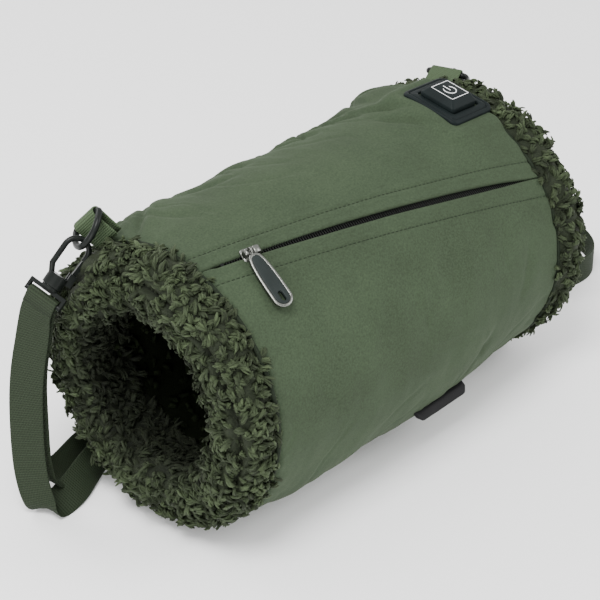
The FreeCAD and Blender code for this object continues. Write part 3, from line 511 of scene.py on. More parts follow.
def crease_depth(x, deg):
    """How far the listed creases pull the cloth in, with a small ridge beside each."""
    total = 0.0
    for (x0, d0), (x1, d1), depth, width in CREASES:
        if abs(x - (x0 + x1) / 2) > 45 or abs(deg - (d0 + d1) / 2) > 32:
            continue
        ax, ay = x - x0, (deg - d0) * 1.6
        bx, by = x1 - x0, (d1 - d0) * 1.6
        length2 = bx * bx + by * by
        t = min(1.0, max(0.0, (ax * bx + ay * by) / length2))
        off = math.hypot(ax - bx * t, ay - by * t)
        side = 1 if ax * by - ay * bx > 0 else -1
        fade = 0.25 + 0.75 * math.sin(math.pi * min(1, max(0, t)))
        total += depth * fade * (math.exp(-(off / width) ** 2)
                                 - 0.45 * math.exp(-((off * side - 2.6 * width) / (1.8 * width)) ** 2))
    return total


def shell_folds(x, deg, s):
    """How far the cloth stands out from the plain tube, in millimetres.  s is the distance from
    the zip line round the tube."""
    a = math.radians(deg)
    cy, cz = 60 * math.sin(a), 60 * math.cos(a)
    calm = smoothstep(6, 34, abs(s))
    near = SEAM_X + x
    far = SEAM_X - x
    end = min(near, far)
    out = 1.8 * fbm(x, cy, cz, 62) * (0.35 + 0.65 * calm)
    out += 0.7 * fbm(x * 1.4, cy, cz, 21) * calm
    crease = abs(noise.noise(Vector((x / 40 - cy / 60, cy / 30 + 5.2, cz / 30))))
    out -= 0.45 * calm * smoothstep(0.10, 0.0, crease)
    # gathers that run in from the two seams
    gather = noise.noise(Vector((x / 46, cy / 7.5, cz / 7.5)))
    out += (1.5 * math.exp(-near / 13) + 1.3 * math.exp(-far / 13)) * gather
    # dents along the top and the back
    signed = deg if deg < 180 else deg - 360
    top = smoothstep(-16, -44, signed) * smoothstep(-150, -100, deg)
    ridge = abs(noise.noise(Vector((x / 24 + cy / 50, cy / 44, cz / 44 + 3.1))))
    top *= 0.25 + 0.75 * smoothstep(40, 100, near)
    out -= (4.6 - 2.2 * smoothstep(-60, -110, signed)) * top * smoothstep(0.16, 0.0, ridge)
    out -= crease_depth(x, signed)
    # the cloth swells round the switch and lies flat against the pad
    dx, dy = x - SWITCH_X, 92 * math.radians(signed - SWITCH_DEG)
    out += 3.4 * math.exp(-(dx / 38) ** 2 - (dy / 44) ** 2)
    for x_mid, deg_mid, half_x, half_deg, height in SWELLS:
        out += height * math.exp(-((x - x_mid) / half_x) ** 2 - ((signed - deg_mid) / half_deg) ** 2)
    if abs(dx) < 42 and abs(dy) < 46:
        height, share = under_pad(x, deg)
        out += (height - out) * share
    # rows of stitches beside the zip
    for line in (-STITCH_DOWN, STITCH_UP):
        out -= 0.55 * math.exp(-((s - line) / 0.9) ** 2)
        out += 0.25 * math.exp(-((abs(s - line) - 2.4) / 1.5) ** 2) * (1 + 0.8 * noise.noise(Vector((x / 6, line, 0))))
    # tuck at the seams
    out -= HEM * smoothstep(3.2, 0.0, end)
    return out


def shell_point(x, s, lift=0.0):
    """A point on the cloth; s is the distance round the tube above (+) the zip line."""
    radius = barrel_radius(x)
    deg = zip_degrees(x) - math.degrees(s / 90.0)
    p = on_tube(x, deg, radius + shell_folds(x, deg, s) + lift)
    p.z = max(p.z, 0.05)
    return p


def zip_gap(x):
    """Half the distance between the lips of the zip."""
    along = (x - ZIP_X0) / (ZIP_X1 - ZIP_X0)
    if not 0 < along < 1:
        return 0.08
    gap = 0.9 + 0.95 * smoothstep(0.06, 0.40, along) - 0.7 * smoothstep(0.70, 0.97, along)
    return 0.08 + gap * smoothstep(0, 0.02, along) * smoothstep(1, 0.86, along)


LIP = [(1.0, -3.9), (0.2, -3.0), (0.0, -1.8), (0.08, -0.9), (0.42, -0.15), (1.0, 0.25), (1.8, 0.38),
       (2.8, 0.30), (4.0, 0.12)]


def make_shell():
    """The woven cover: rows round the tube follow the zip line, and its lips fold in."""
    half_round = math.pi * 90.0
    steps = [o for o, h in LIP]
    s = LIP[-1][0]
    while s < half_round - 1.2:
        s += 1.0 if s < 22 else 1.5
        steps.append(min(s, half_round))
    rows = []
    count = 236
    for i in range(count + 1):
        x = -SEAM_X + 2 * SEAM_X * i / count
        gap = zip_gap(x)
        row = []
        for sign in (1, -1):
            side = []
            for k, step in enumerate(steps):
                lift = LIP[k][1] if k < len(LIP) else 0.0
                place = min(step + gap * smoothstep(40, 0, step), half_round)
                side.append(shell_point(x, sign * place, lift))
            row.append(side)
        upper, lower = row
        rows.append(upper + list(reversed(lower[:-1])))
    points, faces = loft(rows, closed_loops=False)
    shell = add_piece("shell_cover", points, faces, SHELL, "root", ("outer_shell", "wadding"))
    return shell


def make_stitches():
    """Thread along both stitch lines, one short stitch after another."""
    parts = []
    for line in (STITCH_UP, -STITCH_DOWN):
        x = -SEAM_X + 2
        while x < SEAM_X - 3:
            path = [shell_point(x + 2.3 * t, line, 0.12 if 0.1 < t < 0.9 else -0.35)
                    for t in (0, 0.2, 0.5, 0.8, 1)]
            parts.append(rod(path, 0.30, 5))
            x += 3.1
    points, faces = merge(parts)
    add_piece("zip_stitching", points, faces, THREAD)


def make_bindings():
    for side, radius, node in ((-1, R_NEAR, "near_seam_binding"), (1, R_FAR, "far_seam_binding")):
        rows = []
        for i in range(240):
            deg = 360 * i / 240
            ripple = 0.35 * math.sin(i * 0.9) + 0.5 * noise.noise(Vector((i / 5, side, 0)))
            centre = on_tube(side * (SEAM_X + 0.2), deg, radius - 0.9 + 0.3 * ripple)
            out = unit(on_tube(0, deg, 1) - Vector((0, 0, AXIS_Z)))
            loop = [centre + out * (1.3 * math.cos(a)) + Vector((1.5 * math.sin(a), 0, 0))
                    for a in (math.pi * k / 4 for k in range(8))]
            rows.append([Vector((p.x, p.y, max(p.z, 0.05))) for p in loop])
        points, faces = loft(rows + [rows[0]])
        add_piece(node + "_cloth", points, faces, SHADED_BINDING, "root", (node,))


# ================================================================ pile
LOCK_RINGS, LOCK_SIDES = 6, 3
NEAR_LOBES = [(0.66, 318, 24, 6.0), (0.72, 172, 22, 8.0), (0.62, 40, 20, -2.5)]
FAR_LOBES = [(0.2, 140, 32, -4.0), (0.2, 65, 30, 2.5)]


def lock_meshes(roots, normals, curls, lengths, bends, radii, tones):
    """Curled locks of pile, all at once: a bent strand with a blunt tip at each root."""
    count = len(roots)
    rng = np.random.default_rng(count)
    t = np.linspace(0, 1, LOCK_RINGS)[None, :, None]
    bend = bends[:, None, None]
    rho = lengths[:, None, None] / bend
    side = np.cross(normals, curls)
    n, c, w = normals[:, None, :], curls[:, None, :], side[:, None, :]
    phase = rng.uniform(0, 2 * math.pi, (count, 1, 1))
    sway = rng.uniform(0.1, 0.7, (count, 1, 1))
    centre = roots[:, None, :] + n * (rho * np.sin(bend * t)) + c * (rho * (1 - np.cos(bend * t)))
    centre = centre + w * (sway * (np.sin(phase + 3.4 * t) - np.sin(phase)))
    tangent = n * np.cos(bend * t) + c * np.sin(bend * t)
    up = np.cross(tangent, np.broadcast_to(w, tangent.shape))
    swell = 0.75 + 0.35 * np.sin(math.pi * np.linspace(0, 1, LOCK_RINGS))
    swell[-2:] = (0.95, 0.50)
    r = (radii[:, None] * swell[None, :])[:, :, None, None]
    ang = 2 * math.pi * np.arange(LOCK_SIDES) / LOCK_SIDES
    ca, sa = np.cos(ang)[None, None, :, None], np.sin(ang)[None, None, :, None]
    points = centre[:, :, None, :] + w[:, :, None, :] * (r * ca) + up[:, :, None, :] * (0.8 * r * sa)
    start = rng.uniform(0, 100, (count, 1, 1))
    ones = np.ones((count, LOCK_RINGS, LOCK_SIDES))
    grain = np.stack([ones * start + 1.5 * ca[..., 0], ones * 1.5 * sa[..., 0],
                      ones * (lengths[:, None, None] * 0.11 * t)], axis=-1)
    # Painted shade: each lock darkens towards its root, times the lock's own tone.
    shade = ones * tones[:, None, None] * (0.12 + 0.88 * t ** 0.7)
    base = (np.arange(count) * LOCK_RINGS * LOCK_SIDES)[:, None, None]
    ring = (np.arange(LOCK_RINGS - 1) * LOCK_SIDES)[None, :, None]
    j = np.arange(LOCK_SIDES)[None, None, :]
    j2 = (j + 1) % LOCK_SIDES
    quads = np.stack(np.broadcast_arrays(base + ring + j, base + ring + j2, base + ring + LOCK_SIDES + j2,
                                         base + ring + LOCK_SIDES + j), axis=-1).reshape(-1, 4)
    tips = (base[:, 0, :] + (LOCK_RINGS - 1) * LOCK_SIDES + np.arange(LOCK_SIDES)[None, :])
    return (points.reshape(-1, 3), quads.tolist() + tips.tolist(), grain.reshape(-1, 3), shade.ravel())


def clearance(p):
    """Distance from a point to the room for the hook, ring and tab that hang over a cuff."""
    gaps = []
    for a, b, room in HARDWARE_ROOM:
        t = min(1.0, max(0.0, (p - a).dot(b - a) / (b - a).length_squared))
        gaps.append((p - (a + (b - a) * t)).length - room)
    return min(gaps)


def grow_pile(name, surface, clumps, each, material, low, high, radius):
    """Clumps of curled locks over a surface; surface(u, v) gives a point, its normal, a tone (on the cuffs, the
    painted shade of the hem's groove and the tunnel) and a share of the length."""
    roots, normals, curls, lengths, bends, sizes, tones = [], [], [], [], [], [], []
    for i in range(clumps):
        u = (0.5 + 0.7548776662 * i + random.uniform(-0.01, 0.01)) % 1
        v = (0.5 + 0.5698402910 * i + random.uniform(-0.01, 0.01)) % 1
        root, normal, depth, share = surface(u, v)
        gap = clearance(root + normal * 3)
        if gap < 0:
            continue
        share *= 0.35 + 0.65 * smoothstep(0, 8, gap)
        swirl = noise.noise_vector(root / 16.0) * 1.6 + Vector([random.uniform(-1, 1) for _ in range(3)])
        curl = reject(swirl, normal)
        cross = normal.cross(curl)
        length = random.uniform(low, high) * share
        bend = random.uniform(1.5, 3.3)
        tone = 0.62 + 0.40 * noise.noise(root / 9.0) + random.uniform(-0.22, 0.25)
        for k in range(each):
            a, b = random.gauss(0, 1.05), random.gauss(0, 1.05)
            spread = curl * a + cross * b
            tilt = unit(normal + curl * random.uniform(-0.1, 0.2) - spread * 0.18)
            turned = reject(curl + cross * random.uniform(-0.2, 0.2) - spread * 0.1, tilt)
            roots.append(root + spread - normal * 1.2)
            normals.append(tilt)
            curls.append(turned)
            lengths.append(length * random.uniform(0.8, 1.12))
            bends.append(bend * random.uniform(0.85, 1.15))
            sizes.append(radius * random.uniform(0.7, 1.25))
            # depth is the surface's tone; on the cuffs it is painted shade of the groove and the tunnel.
            tones.append(depth * min(1.15, max(0.15, tone + random.uniform(-0.16, 0.2))))
    columns = (np.array(column) for column in (roots, normals, curls, lengths, bends, sizes, tones))
    points, faces, grain, shade = lock_meshes(*columns)
    points[:, 2] = np.maximum(points[:, 2], 0.05)
    return add_piece(name, points, faces, material, "root", (), grain, shade)


class Cuff:
    """A rolled cuff: its profile from the seam, over the end and back into the tunnel."""

    def __init__(self, name, side, r_seam, r_out, reach, r_in, lobes):
        """lobes: where the cuff bulges, as place on the profile, degrees, half width and height."""
        self.name, self.side, self.lobes = name, side, lobes
        x = SEAM_X - 0.5
        knots = [(0, r_seam - 2), (0.18, r_out - 2.0), (0.45, r_out - 1.5), (0.74, r_out - 5.5),
                 (0.90, r_out - 14), (0.92, (r_out + r_in) / 2), (0.82, r_in + 5), (0.60, r_in + 2.5),
                 (0.2, r_in + 3), (-0.6, r_in + 5)]
        self.knots = [(side * (x + share * reach), r) for share, r in knots]

    def profile(self, u):
        """Point of the outline, as (x, radius), on a smooth curve through the knots."""
        t = min(max(u, 0), 0.9999) * (len(self.knots) - 1)
        i = int(t)
        f = t - i
        picks = [self.knots[min(max(i + k, 0), len(self.knots) - 1)] for k in (-1, 0, 1, 2)]
        weights = (-f + 2 * f * f - f ** 3, 2 - 5 * f * f + 3 * f ** 3, f + 4 * f * f - 3 * f ** 3,
                   f ** 3 - f * f)
        return [sum(w * p[axis] for w, p in zip(weights, picks)) / 2 for axis in (0, 1)]

    def at(self, u, deg):
        """Point and normal on the cuff."""
        x, r = self.profile(u)
        x2, r2 = self.profile(u + 0.01)
        x1, r1 = self.profile(u - 0.01)
        a = math.radians(deg)
        out = Vector((0, -math.sin(a), math.cos(a)))
        normal = Vector((-(r2 - r1), 0, 0)) + out * (x2 - x1)
        normal = unit(normal * self.side)
        bulge = 1.9 * fbm(x, 60 * math.sin(a), 60 * math.cos(a), 17)
        bulge -= 3.6 * math.exp(-((u - self.hem(deg)) / 0.022) ** 2)
        for u_mid, deg_mid, half_deg, height in self.lobes:
            bulge += height * math.exp(-((u - u_mid) / 0.13) ** 2 - ((deg % 360 - deg_mid) / half_deg) ** 2)
        p = Vector((x, 0, AXIS_Z)) + out * r + normal * bulge
        p.z = max(p.z, 0.6)
        return p, normal

    def hem(self, deg):
        """Where the stitched hem's groove lies on the profile."""
        return 0.405 + 0.012 * math.sin(math.radians(2 * deg + 40))

    def tone(self, u, deg):
        """Painted shade: darker pile in the hem's groove and down inside the tunnel, where shade falls."""
        groove = 1 - 0.75 * math.exp(-((u - self.hem(deg)) / 0.018) ** 2)
        return groove * (1 - 0.86 * smoothstep(0.55, 0.80, u))

    def painted_ground_shade(self, rows, count):
        # Painted shade: the ground under the locks is kept dark, like deep pile in shade.
        return [0.15 * self.tone(i / 60, 360 * k / count) for i in range(rows) for k in range(count)]

    def spread(self):
        """Share of the cuff's surface up to a place on the profile, and those places."""
        places = [0.02 + 0.96 * i / 120 for i in range(121)]
        line = [self.profile(u) for u in places]
        area = [0.0]
        for (x0, r0), (x1, r1) in zip(line, line[1:]):
            area.append(area[-1] + math.hypot(x1 - x0, r1 - r0) * (r0 + r1))
        return [a / area[-1] for a in area], places

    def build(self, clumps):
        rows = []
        for i in range(61):
            rows.append([self.at(i / 60, 360 * k / 200)[0] for k in range(200)])
        points, faces = loft(rows)
        grain = [tuple(p * 0.4) for p in points]
        ground = add_piece(self.name + "_ground", points, faces, PILE, "root", (self.name,),
                           grain, self.painted_ground_shade(61, 200))

        shares, places = self.spread()

        # The third value is the painted shade of the hem's groove and the tunnel.
        def surface(u, v):
            u = float(np.interp(u, shares, places))
            past_hem = abs(u - self.hem(360 * v))
            return (*self.at(u, 360 * v), self.tone(u, 360 * v), 0.3 + 0.7 * smoothstep(0.012, 0.055, past_hem))
        grow_pile(self.name + "_pile", surface, clumps, 7, PILE, 5.5, 10.0, 0.92)


def make_lining():
    """The tunnel's fleece lining, with shorter pile than the cuffs."""
    rows = []
    for i in range(91):
        x = -SEAM_X - 4 + (2 * SEAM_X + 8) * i / 90
        rows.append([on_tube(x, 360 * k / 120, 56 + 1.6 * fbm(x, 40 * math.sin(math.pi * k / 60),
                                                           40 * math.cos(math.pi * k / 60), 20))
                     for k in range(120)])
    points, faces = loft(rows)
    # Painted shade: the lining's ground under the locks is kept dark.
    ground = add_piece("lining_ground", points, faces, LINING, "root", ("hand_lining",),
                       [tuple(p * 0.4) for p in points], [0.2] * len(points))

    def surface(u, v):
        x = (SEAM_X + 6) * (1 - 2 * u)
        p = on_tube(x, 360 * v, 55.5)
        return p, unit(Vector((0, -p.y, AXIS_Z - p.z))), 0.9, 1.0
    grow_pile("lining_pile", surface, 1100, 4, LINING, 5.0, 8.5, 1.4)


# ================================================================ zip
def make_coil():
    """Closed coil with its tapes; its ribs show between the shell's lips."""
    parts = []
    for i in range(int((ZIP_LEN - 20) / COIL_PITCH)):
        point, out, along = zip_frame(12 + i * COIL_PITCH)
        base = point + ZIP_N * COIL_SIDE
        path = [base + ZIP_N * a + out * h + along * k
                for a, h, k in ((-2.9, -2.1, 0.3), (-2.2, -1.35, 0.2), (0, -1.15, 0), (2.2, -1.35, -0.2),
                                (2.9, -2.1, -0.3))]
        parts.append(rod(path, 0.5, 6))
    points, faces = merge(parts)
    add_piece("coil_teeth", points, faces, COIL, "root", ("zip_chain",))
    for sign, node in ((1, "zip_tape_upper"), (-1, "zip_tape_lower")):
        rows = []
        for i in range(161):
            point, out, along = zip_frame(1 + (ZIP_LEN - 2) * i / 160)
            section = [(0.2, -3.3), (2.4, -2.7), (4.0, -2.8), (8.5, -5.4), (12.8, -7.6), (12.8, -8.0),
                       (4.0, -3.4), (0.2, -3.5)]
            rows.append([point + ZIP_N * (sign * a) + out * h for a, h in section])
        points, faces = loft(rows, True, True, True)
        add_piece(node + "_cloth", points, faces, TAPE, "root", (node,))


def soften(name, width, material, segments=2, angle=35):
    """Rounds the edges of a CAD node and gives it its material."""
    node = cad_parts[name]
    node.data.materials.clear()
    node.data.materials.append(material)
    node.data.polygons.foreach_set("use_smooth", [True] * len(node.data.polygons))
    bevel = node.modifiers.new("edges", "BEVEL")
    bevel.width = width * MM
    bevel.segments = segments
    bevel.limit_method = "ANGLE"
    bevel.angle_limit = math.radians(angle)
    bevel.harden_normals = True
    return node


def make_slider():
    """Slider: a rounded plate with flanges, and a bail that bridges it."""
    point, out, along = zip_frame(SLIDER_START)
    m = frame_matrix(point, along, out)
    plate = [[m @ p for p in rounded_loop(5.9 - i, 4.4 - i, 2.2 - 0.5 * i, z, 8)]
             for i, z in ((0.5, -2.2), (0.1, -1.8), (0, 0.3), (0.15, 0.9), (0.6, 1.25), (1.4, 1.35))]
    parts = [loft(plate, True, True, True)]
    arch = [(5.0, 0.8, 2.1), (5.1, 2.4, 2.1), (4.9, 4.0, 2.15), (4.2, 5.1, 2.2), (3.0, 5.6, 2.2),
            (0.9, 5.6, 2.2), (0.5, 5.5, 1.9), (0.3, 5.1, 0.75), (-1.6, 4.9, 0.7), (-3.5, 5.1, 0.75),
            (-3.7, 5.4, 1.6), (-4.3, 5.1, 1.7), (-4.9, 4.0, 1.7), (-5.1, 2.4, 1.7), (-5.0, 0.8, 1.7)]
    rows = []
    for i, (x, z, half) in enumerate(arch):
        x1, z1, w1 = arch[min(i + 1, len(arch) - 1)]
        x0, z0, w0 = arch[max(i - 1, 0)]
        run = Vector((x1 - x0, 0, z1 - z0)).normalized()
        up = Vector((-run.z, 0, run.x)) * 0.45
        side = Vector((0, 1, 0))
        section = [(-1, 0.55), (-0.9, 1), (0.9, 1), (1, 0.55), (1, -0.55), (0.9, -1), (-0.9, -1), (-1, -0.55)]
        rows.append([m @ (Vector((x, 0, z)) + side * (half * a) + up * b) for a, b in section])
    parts.append(loft(rows, True, True, True))
    points, faces = merge(parts)
    add_piece("slider_body", points, faces, METAL, "zip_slider", ("zip_slider",))


# ================================================================ puller
PULLER_L, PULLER_W, PULLER_T, PULLER_NECK = 38.0, 12.6, 2.2, 4.4
PULLER_DROP, PULLER_SKEW, EYE_X, PIVOT_H, EYE_R = math.radians(12.0), 0.11, -1.6, 4.9, 2.3


def puller_matrix():
    point, out, along = zip_frame(SLIDER_START)
    normal = reject((0, point.y, point.z - AXIS_Z), along)
    front = normal.cross(along)
    front = front if front.z < 0 else -front
    lie = unit(front * math.cos(PULLER_DROP) - normal * math.sin(PULLER_DROP) + along * PULLER_SKEW)
    face = lie.cross(along)
    return frame_matrix(point + out * PIVOT_H + along * EYE_X, lie, face if face.z > 0 else -face)


def drop_outline(inset, count=44):
    """Drop-shaped loop of the puller, narrow at its eye and round at its tip."""
    w = PULLER_W / 2 - inset
    neck = PULLER_NECK / 2 - inset * 0.5
    x0, x1 = EYE_R - 0.2 + inset, PULLER_L - inset - w
    pts = []
    for k in range(count // 2 + 1):
        a = -math.pi / 2 + math.pi * k / (count // 2)
        pts.append((x1 + w * math.cos(a), w * math.sin(a)))
    for k in range(1, count // 2):
        t = k / (count // 2)
        y = neck + (w - neck) * math.sqrt(1 - t ** 3)
        pts.append((x1 + (x0 - x1) * t, y))
    upper = pts[count // 2 + 1:]
    return pts + [(x0, neck), (x0, -neck)] + [(x, -y) for x, y in reversed(upper)]


def slot_outline(count, grow):
    """Loop of the slot near the tip, with as many points as the drop's outline."""
    x0, x1, r = PULLER_L - 8.2, PULLER_L - 4.8, 1.5 + grow
    pts = []
    for k in range(count):
        a = -math.pi / 2 + 2 * math.pi * k / count
        cx = x1 if math.cos(a) > 0 else x0
        pts.append((cx + r * math.cos(a), r * math.sin(a)))
    return pts


def make_puller():
    m = puller_matrix()

    def lay(outline, z):
        return [m @ Vector((x, y, z)) for x, y in outline]

    half = PULLER_T / 2
    loops = [lay(drop_outline(1.75), half - 0.5), lay(drop_outline(1.55), half - 0.05),
             lay(drop_outline(1.2), half), lay(drop_outline(0.5), half), lay(drop_outline(0.1), half - 0.35),
             lay(drop_outline(0), 0), lay(drop_outline(0.1), -half + 0.35), lay(drop_outline(0.5), -half),
             lay(drop_outline(1.55), -half), lay(drop_outline(1.75), -half + 0.5)]
    rim = loft(loops)
    eye_path = [m @ Vector((1.75 * math.cos(a), 0, 1.75 * math.sin(a)))
                for a in (2 * math.pi * k / 24 for k in range(25))]
    eye = rod(eye_path, 0.62, 10)
    neck = rod([m @ Vector((x, 0, 0)) for x in (1.9, 2.6, 3.4, 4.6)], lambda t: 1.2 - 0.2 * t, 10)
    points, faces = merge([rim, eye, neck])
    add_piece("puller_rim", points, faces, METAL, "puller", ("puller_frame",))
    sheets = []
    for sign in (1, -1):
        outer = drop_outline(1.62)
        ring = [lay(outer, sign * (half - 0.45)), lay(drop_outline(1.8), sign * (half + 0.12)),
                lay(drop_outline(2.3), sign * (half + 0.28)),
                lay([((a[0] + b[0]) / 2, (a[1] + b[1]) / 2) for a, b in
                     zip(drop_outline(2.3), slot_outline(len(outer), 0.4))], sign * (half + 0.3)),
                lay(slot_outline(len(outer), 0.35), sign * (half + 0.26)),
                lay(slot_outline(len(outer), 0), sign * (half + 0.1)),
                lay(slot_outline(len(outer), 0), 0)]
        sheets.append(loft(ring))
    points, faces = merge(sheets)
    add_piece("puller_insert", points, faces, RUBBER, "puller", ("puller_grips",))


# ================================================================ switch
def rounded_loop(half_x, half_y, radius, z, per_corner=8, curve=0.0):
    """Rounded rectangle; curve bends its sides down by curve * y squared."""
    pts = []
    for corner in range(4):
        cx = (half_x - radius) * (1 if corner in (0, 3) else -1)
        cy = (half_y - radius) * (1 if corner in (0, 1) else -1)
        for k in range(per_corner):
            a = math.pi / 2 * (corner + k / (per_corner - 1))
            x, y = cx + radius * math.cos(a), cy + radius * math.sin(a)
            pts.append(Vector((x, y, z - curve * y * y)))
    return pts


def make_switch():
    m = SWITCH_M
    bend = PATCH_BEND
    hx, hy = PATCH_HALF_X, PATCH_HALF_Y
    patch = [(0.2, 5.0, -3.0), (0, 5.0, 0.2), (0, 5.0, 1.5), (0.35, 4.8, 2.15), (1.0, 4.4, 2.45),
             (1.9, 3.9, 2.45), (2.2, 3.7, 2.2), (2.4, 3.6, 1.35), (3.0, 3.2, 1.35), (3.2, 3.1, 2.1),
             (3.7, 2.9, 2.25), (6.4, 2.2, 2.3), (6.7, 2.0, 2.1), (6.7, 2.0, -3.0)]
    loops = [[m @ p for p in rounded_loop(hx - i, hy - i * 1.04, r, z, 8, bend)] for i, r, z in patch]
    points, faces = loft(loops)
    add_piece("switch_pad", points, faces, SILICONE, "root", ("switch_patch",))

    bx, by = BUTTON_HALF_X, BUTTON_HALF_Y
    button = [(0, 0, 2.2, -2.5), (0, 0, 2.2, 2.6), (0.15, 0.15, 2.2, 3.3), (0.5, 0.5, 2.2, 3.6),
              (2.5, 3.2, 1.7, 6.5), (2.9, 3.7, 1.6, 6.85), (3.5, 4.2, 1.4, 7.0)]
    loops = [[m @ p for p in rounded_loop(bx - dx, by - dy, r, z)] for dx, dy, r, z in button]
    points, faces = loft(loops, True, False, True)
    add_piece("button_cap", points, faces, SILICONE, "switch_button", ("switch_button",))

    top = 7.0
    outline = [[m @ p for p in rounded_loop(8.0 - i, 8.8 - i, 0.5 - 0.3 * i, top + h)]
               for i, h in ((0, -0.1), (0, 0.08), (0.36, 0.08), (0.36, -0.1))]
    parts = [loft(outline)]
    arc = [m @ Vector((4.1 * math.sin(a), 4.1 * math.cos(a), top + 0.02))
           for a in (math.radians(d) for d in range(42, 319, 12))]
    parts.append(rod(arc, 0.26, 6))
    parts.append(rod([m @ Vector((0, y, top + 0.02)) for y in (-0.5, 1.8, 3.8, 5.6)], 0.26, 6))
    points, faces = merge(parts)
    add_piece("button_mark", points, faces, WHITE, "switch_button")


# ================================================================ webbing
SECTION = [(-1, 0.25), (-0.985, 0.6), (-0.95, 0.85), (-0.88, 1), (-0.45, 1), (0, 1), (0.45, 1), (0.88, 1),
           (0.95, 0.85), (0.985, 0.6), (1, 0.25)]
SECTION = SECTION + [(a, -t) for a, t in reversed(SECTION)]


def ribbon(path, widths, width, thick):
    """A band along a path; gives points, faces and the weave's coordinates."""
    loops, grain = [], []
    length = 0.0
    for i, p in enumerate(path):
        along = unit(path[min(i + 1, len(path) - 1)] - path[max(i - 1, 0)])
        across = reject(widths[i], along)
        face = along.cross(across)
        if i:
            length += (p - path[i - 1]).length
        loops.append([p + across * (a * width / 2) + face * (t * thick / 2) for a, t in SECTION])
        grain.extend((a * width / 2, length, t) for a, t in SECTION)
    points, faces = loft(loops, True, True, True)
    return points, faces, grain


def smooth_line(points, name):
    """Points along the NURBS curve of order 3 that a route's points control."""
    curve = bpy.data.curves.new(name, "CURVE")
    curve.dimensions = "3D"
    spline = curve.splines.new("NURBS")
    spline.points.add(len(points) - 1)
    for slot, p in zip(spline.points, points):
        slot.co = (*p, 1)
    spline.order_u = 3
    spline.use_endpoint_u = True
    spline.resolution_u = 9
    holder = bpy.data.objects.new(name, curve)
    bpy.context.scene.collection.objects.link(holder)
    mesh = bpy.data.meshes.new_from_object(holder)
    line = [v.co.copy() for v in mesh.vertices]
    bpy.data.objects.remove(holder)
    bpy.data.curves.remove(curve)
    bpy.data.meshes.remove(mesh)
    return line


def smooth_band(route, name):
    """Centre line and width directions of a band between its two smooth edges."""
    left = smooth_line([p - w * 10 for p, w in route], name + "_left")
    right = smooth_line([p + w * 10 for p, w in route], name + "_right")
    centre = smooth_line([p for p, w in route], name + "_centre")
    return centre, [unit(b - a) for a, b in zip(left, right)]


def base_bar(end):
    """Middle of the bar that the strap goes round, and the bar's direction."""
    along = unit(end["hook_dir"])
    return hook_grip(end) + along * HOOK_LEN, reject(end["bar_dir"], along)


def bar_frame(end, toward):
    bar, across = base_bar(end)
    pull = reject(Vector(toward) - bar, across)
    front = unit(across.cross(pull))
    return bar, across, pull, front if front.dot(end["strap_out"]) > 0 else -front


def turn_round_bar(bar, across, pull, front, tail):
    """The strap's turn round a base bar, with a sewn tail down its back."""
    path = [bar + front * WRAP_R + pull * 7]
    path += [bar + front * (WRAP_R * math.cos(a)) - pull * (WRAP_R * math.sin(a))
             for a in (math.pi * k / 12 for k in range(13))]
    path += [bar - front * (WRAP_R - 0.02 * t) + pull * t for t in (6, tail * 0.6, tail)]
    return ribbon(path, [across] * len(path), WEB_W, WEB_T)


def free_band(name, route, node):
    """A band that hangs from a hook and lies on the floor."""
    path, widths = smooth_band(route, name)
    points, faces, grain = ribbon(path, widths, WEB_W, WEB_T)
    piece = add_piece(name, points, faces, SHADED_WEBBING, None, node, grain)
    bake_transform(piece)
    return piece


def make_strap():
    route = [(Vector(p), unit(w)) for p, w in STRAP_ROUTE]
    near = bar_frame(ENDS["near"], route[0][0])
    far = bar_frame(ENDS["far"], route[-1][0])
    for side, (bar, across, pull, front), tail in (("near", near, 5), ("far", far, 32)):
        points, faces, grain = turn_round_bar(bar, across, pull, front, tail)
        add_piece(side + "_strap_turn", points, faces, SHADED_WEBBING, side + "_hook_base", (),
                               grain)
    adjuster = soften("strap_adjuster", 0.5, PLASTIC)

    def start(end_frame):
        bar, across, pull, front = end_frame
        return [(bar + front * WRAP_R + pull * k, across) for k in (0.5, 9)]

    free_band("strap_near_length", start(near) + route[:STRAP_SPLIT], ("strap",))
    free_band("strap_far_length", start(far) + list(reversed(route[STRAP_SPLIT - 1:])), ("strap",))
    bar, across, pull, front = near
    back = [(bar - front * WRAP_R + pull * k, across) for k in (0.5, 9)]
    doubled = back + [(Vector(p), unit(w)) for p, w in RETURN_ROUTE]
    free_band("strap_return_layer", doubled, ("strap_doubled_layer",))


def make_tabs():
    """Folded webbing loops that hold the rings, sewn into the cuff seams."""
    for side, end in ENDS.items():
        across = unit(end["fold_dir"])
        reach = reject(end["tab_fold"] - end["tab_root"], across)
        up = reach.cross(across)
        r = RING_WIRE + 0.35 + WEB_T / 2
        fold = end["tab_fold"]
        path = [fold - reach * (end["tab_reach"] * t) + up * (r * (1 - 0.15 * t)) for t in (1.0, 0.8, 0.6, 0.4, 0.2)]
        path += [fold + up * (r * math.cos(a)) + reach * (r * math.sin(a))
                 for a in (math.pi * k / 12 for k in range(13))]
        path += [fold - reach * (end["tab_reach"] * t) - up * (r * (1 - 0.15 * t)) for t in (0.2, 0.4, 0.6, 0.8, 1.0)]
        points, faces, grain = ribbon(path, [across] * len(path), WEB_W, WEB_T)
        # The tab uses the lightened webbing: painted light.
        add_piece(side + "_tab_loop", points, faces, LIT_TAB_WEBBING, "root", (side + "_webbing_tab",), grain)


